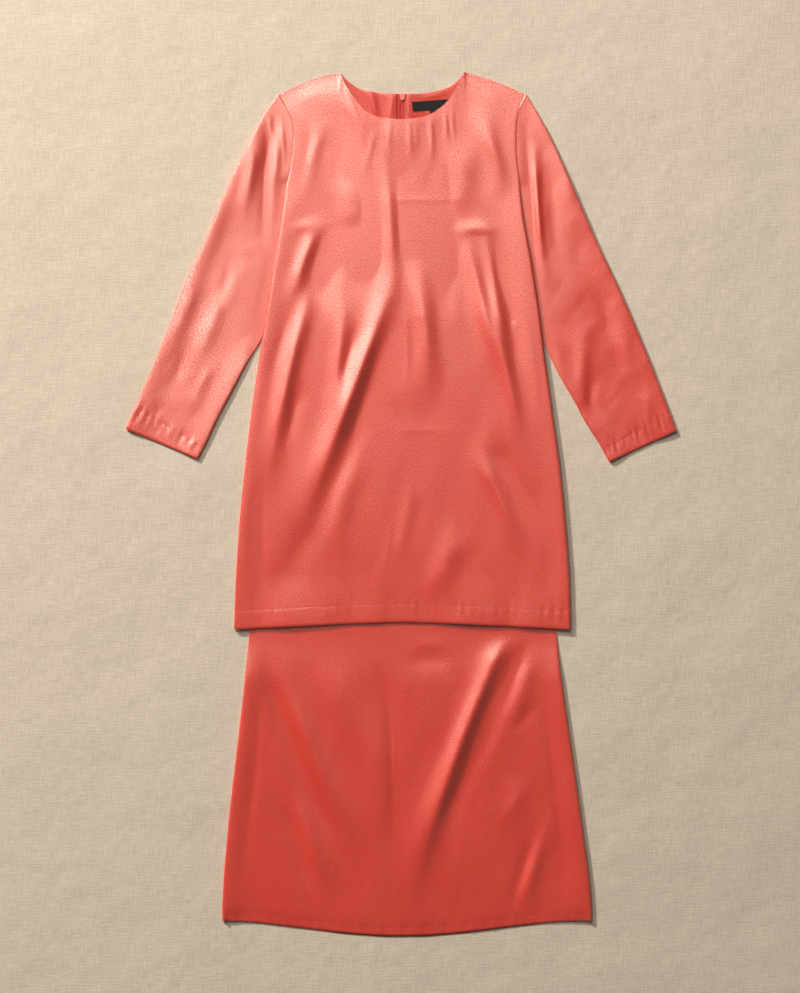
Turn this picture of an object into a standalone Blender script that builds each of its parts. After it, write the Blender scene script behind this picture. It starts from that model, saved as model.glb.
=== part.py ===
"""A baju kurung laid flat: a round-necked, long-sleeved satin tunic with a concealed zip at centre back,
lying over the top of its long A-line skirt. Seen from above, +X is right, +Y is towards the neck and +Z
is up. The origin is at the middle of the outline, on the surface the cloth lies on. Tables are in
millimetres."""

import math
from collections import namedtuple

import bmesh
import bpy
from mathutils import Vector
from mathutils.bvhtree import BVHTree

MM = 0.001

# Cloth and how its layers lie
WALL = 1.0
SEAM_GAP = 0.3
FACING_SEAM = 0.75
ARMHOLE_GAP = 0.5
LAYER = WALL + SEAM_GAP
FLOOR_LAYER = WALL / 2
ROLL_WIDTH = 3.6
ROLL_ANGLES = (0.0, 45.0, 90.0)
LOWER_ROWS = 16

# Tunic sizes
SHOULDER_Y = 643.0
UNDERARM_Y = 428.6
SIDE_SHOWS_Y = 257.5
CENTRE_BACK_X = 1.5
TUNIC_HEM_MIDDLE_Y = -183.4
TUNIC_HEM_DROP = 11.6
TUNIC_HALF_HEM = 264.0
ARMHOLE_ROWS = (643.0, 622.0, 602.0, 582.0, 562.0, 542.0, 521.0, 500.0, 476.0, 452.0, 428.6)
UNDERARM_ROWS = (408.0, 385.0, 362.0, 339.0, 316.0)
LOWER_TOP_Y = 222.0
LAST_ROW_Y = -162.0
FACING_ROWS = 3
FACING_CORNER_SHIFTS = (2.8, 0.8)
FACING_DROP = 0.2

# Skirt sizes
WAIST_Y = 281.0
SKIRT_FREE_Y = -200.0
SKIRT_LOFT_Y = -250.0
SKIRT_HEM_MIDDLE_Y = -674.6
SKIRT_HEM_RISE = 23.5
SKIRT_HALF_HEM = 300.0
SKIRT_BACK_SHOWS = 3.5
SKIRT_PANEL_TOP_Y = -252.0
SKIRT_PANEL_LOW_Y = -636.0
SKIRT_CURVE_START_Y = -480.0
SKIRT_LAST_ROW_Y = -658.0
SKIRT_HIDDEN_GAP = 1.15 * LAYER
SKIRT_INSIDE = 8.0
SKIRT_EDGE_PLACES = (2.0, 12.0)

# Zip sizes
ZIP_BOTTOM_Y = 186.0
COIL_HALF_WIDTH = 2.6
COIL_HEIGHT = 1.6
COIL_TOP_Y = 633.4
TAPE_EDGE = 2.9
TAPE_WIDTH = 14.0
SLIT_HALF_WIDTH = 1.4
CLOSED_HALF_WIDTH = 0.2
SLIT_BOTTOM_Y = 615.0
PULL_LIFT = 2.2
SLIDER_TOP_Y = 644.3
SLIDER_LENGTH = 10.2
SLIDER_TOP_WIDTH = 10.0
SLIDER_LOW_WIDTH = 5.4
SLIDER_THICKNESS = 2.4
LUG_WIDTH = 1.6
LUG_LENGTH = 6.0
LUG_FLOOR = 0.55
LUG_WINDOW = (3.8, 1.4)
PULL_LENGTH = 22.0
PULL_THICKNESS = 0.8
PULL_WINDOW = (2.7, 3.7)
PULL_NECK_HALF = 2.25
PULL_WIDE_HALF = 2.9
PULL_NECK_END = -6.0
PULL_WIDE_START = -12.0
PULL_AXIS_Y = SLIDER_TOP_Y - SLIDER_LENGTH / 2
PULL_AXIS_Z = LUG_FLOOR + LUG_WINDOW[1] / 2

# Outline of the tunic front, from the shoulder point down: left and right edges, the height of the
# front's own edge and the height that its side rolls up to
TunicSection = namedtuple("TunicSection", "y left right seam crest")
TUNIC_SECTIONS = (
    TunicSection(643.0, -193.0, 195.2, 2.8, 3.0),
    TunicSection(620.0, -179.6, 184.7, 3.0, 3.4),
    TunicSection(600.0, -171.5, 181.0, 3.2, 3.7),
    TunicSection(580.0, -169.1, 179.8, 3.3, 3.9),
    TunicSection(560.0, -170.6, 180.0, 3.4, 4.0),
    TunicSection(540.0, -172.7, 181.2, 3.5, 4.1),
    TunicSection(520.0, -175.8, 183.4, 3.6, 4.2),
    TunicSection(500.0, -180.4, 185.4, 3.7, 4.6),
    TunicSection(476.0, -183.9, 188.1, 3.7, 5.8),
    TunicSection(452.0, -187.5, 191.2, 3.7, 6.8),
    TunicSection(380.0, -199.4, 204.2, 3.7, 8.0),
    TunicSection(290.0, -213.8, 217.4, 3.8, 8.2),
    TunicSection(250.0, -219.9, 222.1, 4.6, 8.4),
    TunicSection(140.0, -235.8, 237.3, 4.8, 8.6),
    TunicSection(60.0, -245.3, 248.5, 4.8, 8.6),
    TunicSection(-30.0, -254.4, 257.2, 4.8, 8.6),
    TunicSection(-110.0, -259.6, 263.2, 4.8, 8.4),
    TunicSection(-195.0, -263.0, 264.9, 4.8, 8.0),
)

# Neckline: the front and back edges at each place across
NeckSection = namedtuple("NeckSection", "x front back")
NECK_SECTIONS = (
    NeckSection(-95.8, 677.9, 677.9),
    NeckSection(-89.6, 662.5, 671.0),
    NeckSection(-79.9, 645.9, 662.0),
    NeckSection(-67.2, 628.0, 653.9),
    NeckSection(-55.1, 615.9, 650.3),
    NeckSection(-38.0, 607.8, 647.0),
    NeckSection(-18.0, 605.2, 645.0),
    NeckSection(1.5, 603.9, 644.4),
    NeckSection(20.0, 605.5, 644.6),
    NeckSection(37.0, 609.0, 646.2),
    NeckSection(54.5, 618.1, 649.3),
    NeckSection(73.9, 635.4, 655.8),
    NeckSection(89.0, 661.0, 667.0),
    NeckSection(98.7, 679.0, 679.0),
)

# Slope of the shoulders from the neck point out to the shoulder point
ShoulderSection = namedtuple("ShoulderSection", "out left_x left_y right_x right_y")
SHOULDER_SECTIONS = (
    ShoulderSection(0.0, -95.8, 677.9, 98.7, 679.0),
    ShoulderSection(0.4, -133.9, 669.3, 136.1, 667.9),
    ShoulderSection(0.75, -168.8, 654.8, 171.0, 654.8),
    ShoulderSection(1.0, -193.0, 643.0, 195.2, 643.0),
)

# Hidden side line of the tunic's back, from the armhole past the underarm to where the side shows
HiddenSide = namedtuple("HiddenSide", "y left right")
HIDDEN_SIDES = (
    HiddenSide(500.0, -180.4, 185.4),
    HiddenSide(476.0, -175.6, 179.6),
    HiddenSide(452.0, -166.4, 169.8),
    HiddenSide(428.6, -154.6, 157.8),
    HiddenSide(257.5, -218.8, 221.0),
)

# Sleeve sections from the armhole to the cuff: the outer and inner edges
SleeveSection = namedtuple("SleeveSection", "outer_x outer_y inner_x inner_y bulge outer_top inner_top")
LEFT_SLEEVE = (
    SleeveSection(-193.0, 643.0, -154.6, 428.6, 1.0, 2.8, 1.8),
    SleeveSection(-212.3, 616.9, -164.1, 403.3, 0.7, 4.4, 1.8),
    SleeveSection(-233.1, 579.3, -173.5, 378.2, 0.45, 5.6, 1.8),
    SleeveSection(-253.1, 539.9, -184.5, 348.9, 0.25, 6.4, 1.8),
    SleeveSection(-271.6, 500.8, -197.0, 315.6, 0.1, 6.6, 1.8),
    SleeveSection(-288.4, 461.6, -209.6, 282.0, 0.0, 6.6, 1.8),
    SleeveSection(-307.4, 416.1, -220.2, 257.5, 0.0, 6.6, 2.0),
    SleeveSection(-332.7, 360.8, -241.3, 223.7, 0.0, 6.4, 4.2),
    SleeveSection(-361.6, 286.2, -265.3, 178.2, 0.0, 6.2, 5.2),
    SleeveSection(-385.6, 226.1, -289.5, 132.5, 0.0, 6.0, 5.4),
    SleeveSection(-406.0, 178.2, -303.8, 101.3, 0.0, 6.0, 5.4),
    SleeveSection(-432.4, 119.3, -318.7, 72.2, 0.0, 6.0, 5.4),
)
RIGHT_SLEEVE = (
    SleeveSection(195.2, 643.0, 157.8, 428.6, 1.0, 2.8, 1.8),
    SleeveSection(215.7, 609.9, 167.2, 403.2, 0.7, 4.4, 1.8),
    SleeveSection(236.3, 570.7, 176.6, 378.1, 0.45, 5.6, 1.8),
    SleeveSection(255.4, 528.5, 187.2, 349.8, 0.25, 6.4, 1.8),
    SleeveSection(274.0, 485.9, 198.6, 319.4, 0.1, 6.6, 1.8),
    SleeveSection(292.8, 442.7, 211.2, 285.6, 0.0, 6.6, 1.8),
    SleeveSection(311.6, 400.4, 222.6, 254.5, 0.0, 6.6, 2.0),
    SleeveSection(339.9, 341.5, 244.0, 208.8, 0.0, 6.4, 4.2),
    SleeveSection(369.7, 272.4, 268.0, 166.7, 0.0, 6.2, 5.2),
    SleeveSection(391.7, 219.0, 289.0, 127.6, 0.0, 6.0, 5.4),
    SleeveSection(412.1, 166.7, 306.9, 99.7, 0.0, 6.0, 5.4),
    SleeveSection(431.1, 116.3, 325.0, 67.5, 0.0, 6.0, 5.4),
)

# Outline of the skirt from the waist down
SkirtSection = namedtuple("SkirtSection", "y left right")
SKIRT_SECTIONS = (
    SkirtSection(281.0, -175.0, 178.0),
    SkirtSection(180.0, -200.0, 203.0),
    SkirtSection(81.0, -217.0, 220.0),
    SkirtSection(-60.0, -229.0, 232.0),
    SkirtSection(-198.0, -238.2, 242.3),
    SkirtSection(-260.0, -243.8, 249.0),
    SkirtSection(-390.0, -258.7, 267.3),
    SkirtSection(-500.0, -271.2, 282.6),
    SkirtSection(-600.0, -278.9, 294.4),
    SkirtSection(-652.0, -281.2, 297.8),
)

# Folds: the height of each ridge, its half width, how much steeper its lower right side is, and the
# start, middle and end of its line
Fold = namedtuple("Fold", "height width lean x1 y1 x2 y2 x3 y3")
TUNIC_FOLDS = (
    Fold(8.0, 17.0, 0.35, -22.0, 405.0, -87.0, 182.0, -198.0, -58.0),
    Fold(5.5, 14.0, 0.20, -138.0, 340.0, -184.0, 182.0, -234.0, -15.0),
    Fold(4.0, 11.0, 0.10, -152.0, 400.0, -171.0, 350.0, -184.0, 302.0),
    Fold(6.5, 14.0, 0.25, 90.0, 402.0, 148.0, 234.0, 181.0, 40.0),
    Fold(3.0, 11.0, 0.0, 176.0, 350.0, 205.0, 190.0, 224.0, 100.0),
    Fold(3.0, 12.0, 0.0, 20.0, 385.0, 31.0, 280.0, 33.0, 185.0),
    Fold(3.5, 14.0, 0.1, 122.0, 620.0, 150.0, 557.0, 174.0, 490.0),
    Fold(3.0, 14.0, 0.0, -122.0, 612.0, -140.0, 550.0, -150.0, 480.0),
    Fold(3.5, 15.0, 0.0, -72.0, 395.0, -96.0, 320.0, -100.0, 238.0),
    Fold(3.5, 15.0, 0.0, 106.0, 100.0, 152.0, 38.0, 202.0, -88.0),
    Fold(2.5, 18.0, 0.0, -60.0, 120.0, -95.0, 0.0, -100.0, -120.0),
    Fold(2.5, 18.0, 0.0, 95.0, -20.0, 70.0, -90.0, 62.0, -165.0),
)
LEFT_SLEEVE_FOLDS = (
    Fold(4.0, 13.0, 0.0, -236.0, 570.0, -244.0, 516.0, -258.0, 430.0),
    Fold(3.0, 9.0, 0.0, -203.0, 600.0, -207.0, 540.0, -220.0, 462.0),
    Fold(3.0, 16.0, 0.0, -258.0, 395.0, -303.0, 285.0, -352.0, 155.0),
    Fold(2.0, 13.0, 0.0, -300.0, 395.0, -340.0, 300.0, -385.0, 185.0),
)
RIGHT_SLEEVE_FOLDS = (
    Fold(5.0, 12.0, 0.0, 206.0, 628.0, 219.0, 430.0, 226.0, 306.0),
    Fold(3.0, 14.0, 0.0, 242.0, 548.0, 262.0, 470.0, 292.0, 392.0),
    Fold(3.0, 15.0, 0.0, 286.0, 312.0, 290.0, 220.0, 296.0, 140.0),
    Fold(2.0, 14.0, 0.0, 330.0, 330.0, 352.0, 250.0, 385.0, 160.0),
)
SKIRT_FOLDS = (
    Fold(8.0, 17.0, 0.35, 186.0, -170.0, 96.0, -350.0, 16.0, -592.0),
    Fold(4.0, 15.0, 0.0, -240.0, -205.0, -166.0, -400.0, -112.0, -535.0),
    Fold(3.5, 15.0, 0.0, -206.0, -190.0, -136.0, -385.0, -78.0, -530.0),
    Fold(3.0, 14.0, 0.0, 205.0, -215.0, 185.0, -300.0, 160.0, -370.0),
    Fold(3.0, 13.0, 0.0, 232.0, -505.0, 198.0, -580.0, 182.0, -645.0),
    Fold(2.5, 12.0, 0.0, -240.0, -240.0, -254.0, -444.0, -268.0, -610.0),
    Fold(3.0, 12.0, 0.0, -15.0, -216.0, 45.0, -219.0, 118.0, -214.0),
    Fold(2.5, 20.0, 0.0, -30.0, -250.0, -22.0, -430.0, -14.0, -640.0),
)

# Plain lifts and widths of the laid cloth
BASE_OVER_BACK = 3.3
BACK_STEP = 10.0
FRONT_STEP = 110.0
SIDE_SPREAD = 28.0
EDGE_SPREAD = 20.0
SLEEVE_REST = FLOOR_LAYER + LAYER
SLEEVE_RISE = 22.0
SLEEVE_RISE_START = 1.5
SLEEVE_OUTER_SPREAD = 26.0
SLEEVE_INNER_SPREAD = 22.0
SLEEVE_CROWN = 1.2
SKIRT_CROWN = 1.8
SKIRT_SEAM = 4.2
SKIRT_CREST = 7.6
NECK_RISE = 2.9
NECK_RISE_WIDTH = 110.0
ZIP_ROOM = 1.3
ZIP_ROOM_WIDTH = 45.0
FACING_ROOM = 1.6
FACING_ROOM_WIDTH = 105.0
FACING_ROOM_Y = 545.0
PULL_LIFT_WIDTH = 72.0
PULL_LIFT_SLOPE = 56.0
PULL_LIFT_Y = 560.0
PULL_LIFT_LENGTH = 40.0
SIDE_TURN_LENGTH = 34.0

# Neck label and size tab, on the right half of the inner back neck
LABEL_START = (17.6, 617.0)
LABEL_LENGTH = 58.0
LABEL_HEIGHT = 14.5
LABEL_TILT = math.radians(5.0)
LABEL_WALL = 0.8
TAB_ALONG = 27.0
TAB_WIDTH = 10.5
TAB_HEIGHT = 6.5

# Finishes: colour, roughness and metallic value
Finish = namedtuple("Finish", "colour roughness metallic")
FINISHES = {
    "coral_satin": Finish((0.72, 0.13, 0.10), 0.38, 0.0),
    "black_label": Finish((0.02, 0.02, 0.025), 0.7, 0.0),
    "zip_tape": Finish((0.70, 0.12, 0.09), 0.8, 0.0),
    "zip_coil": Finish((0.75, 0.05, 0.05), 0.45, 0.0),
    "zip_metal": Finish((0.72, 0.16, 0.12), 0.4, 0.3),
}


def clear_scene():
    """Remove whatever the scene holds."""
    for item in list(bpy.data.objects):
        bpy.data.objects.remove(item, do_unlink=True)


def make_material(name):
    """Return the material of one finish, made once."""
    material = bpy.data.materials.get(name)
    if material is None:
        finish = FINISHES[name]
        material = bpy.data.materials.new(name)
        material.use_nodes = True
        shader = material.node_tree.nodes["Principled BSDF"]
        shader.inputs["Base Color"].default_value = (*finish.colour, 1.0)
        shader.inputs["Roughness"].default_value = finish.roughness
        shader.inputs["Metallic"].default_value = finish.metallic
        material.diffuse_color = (*finish.colour, 1.0)
    return material


def ease(value):
    """Ease from 0 to 1 as the value goes from 0 to 1."""
    value = min(1.0, max(0.0, value))
    return value * value * (3.0 - 2.0 * value)


def mix(low, high, share):
    """Blend two numbers."""
    return low + (high - low) * share


def track(rows, key, column):
    """Return a smooth curve through one column of a table, read along another column."""
    knots = sorted((getattr(row, key), getattr(row, column)) for row in rows)
    last = len(knots) - 1
    chords = [(knots[i + 1][1] - knots[i][1]) / (knots[i + 1][0] - knots[i][0]) for i in range(last)]
    slopes = [chords[0]]
    for i in range(1, last):
        before, after = chords[i - 1], chords[i]
        slopes.append(0.0 if before * after <= 0.0 else 2.0 * before * after / (before + after))
    slopes.append(chords[-1])

    def read(place):
        if place <= knots[0][0]:
            return knots[0][1]
        if place >= knots[-1][0]:
            return knots[-1][1]
        i = max(j for j in range(last) if knots[j][0] <= place)
        span = knots[i + 1][0] - knots[i][0]
        t = (place - knots[i][0]) / span
        rise = mix(knots[i][1], knots[i + 1][1], ease(t))
        return rise + span * t * (1.0 - t) * ((1.0 - t) * slopes[i] - t * slopes[i + 1])

    return read


def fold_line(fold, steps=10):
    """Return the points of a fold's line, a smooth curve through its three places."""
    points = []
    for i in range(steps + 1):
        t = i / steps
        start = (1.0 - t) * (1.0 - 2.0 * t)
        middle = 4.0 * t * (1.0 - t)
        end = t * (2.0 * t - 1.0)
        x = fold.x1 * start + fold.x2 * middle + fold.x3 * end
        y = fold.y1 * start + fold.y2 * middle + fold.y3 * end
        points.append(Vector((x, y)))
    return points


def fold_field(folds):
    """Return a function that gives the height of all the folds at a place."""
    lines = [(fold, fold_line(fold)) for fold in folds]

    def height(x, y):
        place = Vector((x, y))
        total = 0.0
        for fold, points in lines:
            best = None
            for i in range(len(points) - 1):
                along = points[i + 1] - points[i]
                share = (place - points[i]).dot(along) / along.length_squared
                share = min(1.0, max(0.0, share))
                away = place - (points[i] + along * share)
                if best is None or away.length < best[0]:
                    best = (away.length, (i + share) / (len(points) - 1), away.x)
            distance, share, side = best
            width = fold.width * (1.0 - fold.lean) if side > 0.0 else fold.width
            fade = ease(min(share, 1.0 - share) / 0.25)
            total += fold.height * math.exp(-(distance / width) ** 2) * fade
        return total

    return height


front_left = track(TUNIC_SECTIONS, "y", "left")
front_right = track(TUNIC_SECTIONS, "y", "right")
front_seam = track(TUNIC_SECTIONS, "y", "seam")
front_crest = track(TUNIC_SECTIONS, "y", "crest")
neck_front = track(NECK_SECTIONS, "x", "front")
neck_back = track(NECK_SECTIONS, "x", "back")
skirt_left = track(SKIRT_SECTIONS, "y", "left")
skirt_right = track(SKIRT_SECTIONS, "y", "right")
tunic_folds = fold_field(TUNIC_FOLDS)
skirt_folds = fold_field(SKIRT_FOLDS)


def hidden_edge(side):
    """Return the tunic back's side line: armhole, hidden underarm, then the side that shows."""
    shown = front_left if side == "left" else front_right
    table = HIDDEN_SIDES

    def read(y):
        if y >= table[0].y or y <= table[-1].y:
            return shown(y)
        i = max(j for j in range(len(table) - 1) if table[j].y >= y)
        share = (table[i].y - y) / (table[i].y - table[i + 1].y)
        return mix(getattr(table[i], side), getattr(table[i + 1], side), share)

    return read


back_left = hidden_edge("left")
back_right = hidden_edge("right")


def tunic_hem(x):
    """Height up the page of the tunic's hem."""
    return TUNIC_HEM_MIDDLE_Y - TUNIC_HEM_DROP * abs(x / TUNIC_HALF_HEM) ** 1.3


def skirt_hem(x, piece):
    """Height up the page of the skirt's hem, a little lower on the back piece."""
    hem = SKIRT_HEM_MIDDLE_Y + SKIRT_HEM_RISE * (1.0 - math.cos(math.pi * x / SKIRT_HALF_HEM)) / 2
    if piece == "back":
        hem -= SKIRT_BACK_SHOWS * max(0.0, 1.0 - (x / SKIRT_HALF_HEM) ** 2)
    return hem


def over_skirt(x, y, spread):
    """1 where the tunic lies over the skirt, falling to 0 over a width outside it."""
    outside = max(skirt_left(y) - x, x - skirt_right(y), y - WAIST_Y)
    return min(1.0, max(0.0, (2.0 + spread - outside) / spread))


def pull_lift(x, y):
    """How far the back neck is held up by the zip's pull lying under it."""
    across = min(1.0, max(0.0, (PULL_LIFT_WIDTH - abs(x - CENTRE_BACK_X)) / PULL_LIFT_SLOPE))
    along = min(1.0, max(0.0, (y - PULL_LIFT_Y) / PULL_LIFT_LENGTH))
    return PULL_LIFT * across * along


def back_height(x, y):
    """Height of the middle of the tunic back's wall."""
    return FLOOR_LAYER + 2.0 * LAYER * over_skirt(x, y, BACK_STEP) + pull_lift(x, y)


def front_height(x, y):
    """Height of the middle of the tunic front's wall, away from its edges."""
    beside_zip = abs(x - CENTRE_BACK_X)
    zip_top = ease((y - ZIP_BOTTOM_Y + 36.0) / 30.0)
    zip_room = ZIP_ROOM * max(0.0, 1.0 - beside_zip / ZIP_ROOM_WIDTH) * zip_top
    facing_top = ease((y - FACING_ROOM_Y) / 40.0)
    facing_room = FACING_ROOM * max(0.0, 1.0 - (beside_zip / FACING_ROOM_WIDTH) ** 2) * facing_top
    base = BASE_OVER_BACK + 2.0 * LAYER * ease(over_skirt(x, y, FRONT_STEP)) + pull_lift(x, y)
    return base + zip_room + facing_room + tunic_folds(x, y)


def grid_object(name, points, material, wall=WALL, closed=False):
    """Make a cloth piece: a grid laid on rows of points, given its wall."""
    rows, columns = len(points), len(points[0])
    sheet = bmesh.new()
    bmesh.ops.create_grid(sheet, x_segments=columns - 1, y_segments=rows - 1, size=1.0)
    for vertex in sheet.verts:
        column = round((vertex.co.x + 1.0) / 2 * (columns - 1))
        row = round((vertex.co.y + 1.0) / 2 * (rows - 1))
        vertex.co = Vector(points[row][column]) * MM
    if closed:
        bmesh.ops.remove_doubles(sheet, verts=sheet.verts, dist=1e-6)
    mesh = bpy.data.meshes.new(name)
    sheet.to_mesh(mesh)
    sheet.free()
    mesh.shade_smooth()
    piece = place_object(name, mesh, material)
    thickness = piece.modifiers.new("wall", "SOLIDIFY")
    thickness.thickness = wall * MM
    thickness.offset = 0.0
    return piece


def place_object(name, mesh, material):
    """Put a mesh in the garment's collection, under its empty."""
    piece = bpy.data.objects.new(name, mesh)
    garment.objects.link(piece)
    piece.parent = anchor
    mesh.materials.append(make_material(material))
    return piece


def roll_columns():
    """Insets and rises of the columns that roll a side, from the edge in."""
    return [(1.0 - math.cos(math.radians(a)), math.sin(math.radians(a))) for a in ROLL_ANGLES]


def front_top_points():
    """Return the front's top edge from left to right, each point marked as shoulder or neck."""
    outs = (1.0, 0.985, 0.96, 0.8, 0.6, 0.4, 0.2)
    left_x = track(SHOULDER_SECTIONS, "out", "left_x")
    left_y = track(SHOULDER_SECTIONS, "out", "left_y")
    right_x = track(SHOULDER_SECTIONS, "out", "right_x")
    right_y = track(SHOULDER_SECTIONS, "out", "right_y")
    left = [(left_x(out), left_y(out), "shoulder") for out in outs]
    right = [(right_x(out), right_y(out), "shoulder") for out in reversed(outs)]
    start, end = NECK_SECTIONS[0].x, NECK_SECTIONS[-1].x
    neck = []
    count = 20
    for i in range(count):
        x = mix(start, end, (1.0 - math.cos(math.pi * i / (count - 1))) / 2)
        x = mix(x, mix(start, end, i / (count - 1)), 0.35)
        neck.append((x, neck_front(x), "neck"))
    return left + neck + right


def tunic_rows():
    """Heights up the page of the tunic's rows below the underarm, close together at the skirt's waist."""
    waist = (WAIST_Y + 14.0, WAIST_Y + 2.0, WAIST_Y - 8.0, SIDE_SHOWS_Y, 240.0, LOWER_TOP_Y)
    lower = tuple(mix(LOWER_TOP_Y, LAST_ROW_Y, i / LOWER_ROWS) for i in range(1, LOWER_ROWS + 1))
    return UNDERARM_ROWS + waist + lower


def make_tunic_front():
    """The front: rows follow the neckline and armholes, then run level to the hem."""
    top = front_top_points()
    rolls = roll_columns()
    count = len(top)
    inner = count - 2 * len(rolls)
    rows = []

    def line_x(column, y):
        left, right = front_left(y), front_right(y)
        if column < len(rolls):
            return left + ROLL_WIDTH * rolls[column][0]
        if column >= count - len(rolls):
            return right - ROLL_WIDTH * rolls[count - 1 - column][0]
        share = (column - len(rolls) + 1) / (inner + 1)
        return mix(left + ROLL_WIDTH, right - ROLL_WIDTH, share)

    def height(column, x, y, drop, kind):
        seam, crest = front_seam(y), front_crest(y)
        body = front_height(x, y)
        to_side = min(x - front_left(y), front_right(y) - x)
        edge = min(column, count - 1 - column)
        if edge < len(rolls):
            level = mix(seam, crest, rolls[edge][1])
        else:
            level = body + (crest - body) * math.exp(-((to_side - ROLL_WIDTH) / SIDE_SPREAD) ** 2)
        if kind == "shoulder":
            start = SLEEVE_REST
        else:
            middle = max(0.0, 1.0 - ((x - CENTRE_BACK_X) / NECK_RISE_WIDTH) ** 2)
            start = FLOOR_LAYER + 2.0 * LAYER + pull_lift(x, y) + NECK_RISE * middle
        if edge == 0:
            start = seam
        return mix(start, max(level, start) if kind == "neck" else level, ease(drop / EDGE_SPREAD))

    for mark in ARMHOLE_ROWS:
        share = (SHOULDER_Y - mark) / (SHOULDER_Y - UNDERARM_Y)
        row = []
        for column, (top_x, top_y, kind) in enumerate(top):
            y = mix(top_y, UNDERARM_Y, share)
            left, right = front_left(y), front_right(y)
            tip_left, tip_right = front_left(top_y), front_right(top_y)
            across = (top_x - tip_left) / (tip_right - tip_left)
            x = mix(left + (right - left) * across, line_x(column, y), ease(share))
            row.append((x, y, height(column, x, y, top_y - y, kind)))
        rows.append(row)
    for mark in tunic_rows() + (TUNIC_HEM_MIDDLE_Y,):
        row = []
        for column in range(count):
            x = line_x(column, mark)
            share = (UNDERARM_Y - mark) / (UNDERARM_Y - TUNIC_HEM_MIDDLE_Y)
            y = mark + (tunic_hem(x) - TUNIC_HEM_MIDDLE_Y) * share ** 4
            row.append((x, y, height(column, x, y, UNDERARM_Y, "shoulder")))
        rows.append(row)
    return grid_object("tunic_front", rows, "coral_satin")


def slit(y):
    """Half the distance between the two back pieces, which part a little under the zip's slider."""
    return SLIT_HALF_WIDTH if y > SLIT_BOTTOM_Y else CLOSED_HALF_WIDTH


def back_points(side):
    """Rows of points for one half of the back, from centre back out to its side."""
    sign = -1.0 if side == "left" else 1.0
    edge = back_left if side == "left" else back_right
    skirt_edge = skirt_left if side == "left" else skirt_right
    shoulder_x = track(SHOULDER_SECTIONS, "out", side + "_x")
    shoulder_y = track(SHOULDER_SECTIONS, "out", side + "_y")
    neck_points = (0.0, TAPE_EDGE, 10.0, TAPE_WIDTH, 34.0, 62.0, 84.0)
    outs = (0.0, 0.3, 0.6, 0.8, 0.95, 1.0)
    top = [(CENTRE_BACK_X + sign * along, neck_back(CENTRE_BACK_X + sign * along)) for along in neck_points]
    top += [(shoulder_x(out), shoulder_y(out)) for out in outs]
    rolls = list(reversed(roll_columns()))

    def line_x(column, y):
        if column < 4:
            return CENTRE_BACK_X + sign * neck_points[column]
        near = CENTRE_BACK_X + sign * TAPE_WIDTH
        under = skirt_edge(y)
        places = [mix(near, under - sign * SKIRT_INSIDE, share) for share in (0.22, 0.46, 0.72, 1.0)]
        places += [under + sign * place for place in SKIRT_EDGE_PLACES]
        if column < 10:
            return places[column - 4]
        return edge(y) - sign * ROLL_WIDTH * rolls[column - 10][0]

    def upper_x(column, y):
        if column < 4:
            return CENTRE_BACK_X + sign * neck_points[column]
        near = CENTRE_BACK_X + sign * TAPE_WIDTH
        far = edge(y) - sign * ROLL_WIDTH
        if column < 10:
            return mix(near, far, (column - 3) / 7)
        return edge(y) - sign * ROLL_WIDTH * rolls[column - 10][0]

    def height(column, x, y):
        level = back_height(x, y)
        if column >= 10:
            turn = ease((SIDE_SHOWS_Y - y) / SIDE_TURN_LENGTH)
            rise = (front_seam(y) - FACING_SEAM - FLOOR_LAYER) * turn
            return FLOOR_LAYER + rise * (1.0 - rolls[column - 10][1])
        return level

    rows = []
    for mark in ARMHOLE_ROWS:
        share = (SHOULDER_Y - mark) / (SHOULDER_Y - UNDERARM_Y)
        row = []
        for column, (top_x, top_y) in enumerate(top):
            y = mix(top_y, UNDERARM_Y, share)
            reach = edge(top_y) - CENTRE_BACK_X
            across = (top_x - CENTRE_BACK_X) / reach
            x = mix(CENTRE_BACK_X + (edge(y) - CENTRE_BACK_X) * across, upper_x(column, y), ease(share))
            if column < 4:
                x = upper_x(column, y)
            if column == 0:
                x = CENTRE_BACK_X + sign * slit(y)
            row.append((x, y, height(column, x, y)))
        rows.append(row)
    for mark in tunic_rows() + (TUNIC_HEM_MIDDLE_Y,):
        row = []
        settle = ease((UNDERARM_Y - mark) / (UNDERARM_Y - WAIST_Y - 14.0))
        for column in range(len(top)):
            x = mix(upper_x(column, mark), line_x(column, mark), settle)
            if column == 0:
                x = CENTRE_BACK_X + sign * slit(mark)
            share = (UNDERARM_Y - mark) / (UNDERARM_Y - TUNIC_HEM_MIDDLE_Y)
            y = mark + (tunic_hem(x) - TUNIC_HEM_MIDDLE_Y) * share ** 4
            row.append((x, y, height(column, x, y)))
        rows.append(row)
    return thin_rows(rows)


def thin_rows(rows):
    """Leave out rows where the hidden back is plain: some above the skirt's waist and most below it."""
    upper = len(ARMHOLE_ROWS)
    waist = upper + len(UNDERARM_ROWS)
    lower = len(rows) - LOWER_ROWS - 1
    tail = rows[lower:]
    sparse = [row for i, row in enumerate(tail) if i % 3 == 2 or i == len(tail) - 1]
    return rows[:upper] + rows[upper + 1:waist:2] + rows[waist:lower] + sparse


def raised(points, lift):
    """Points moved straight up."""
    return [[(x, y, z + lift) for x, y, z in row] for row in points]


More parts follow.
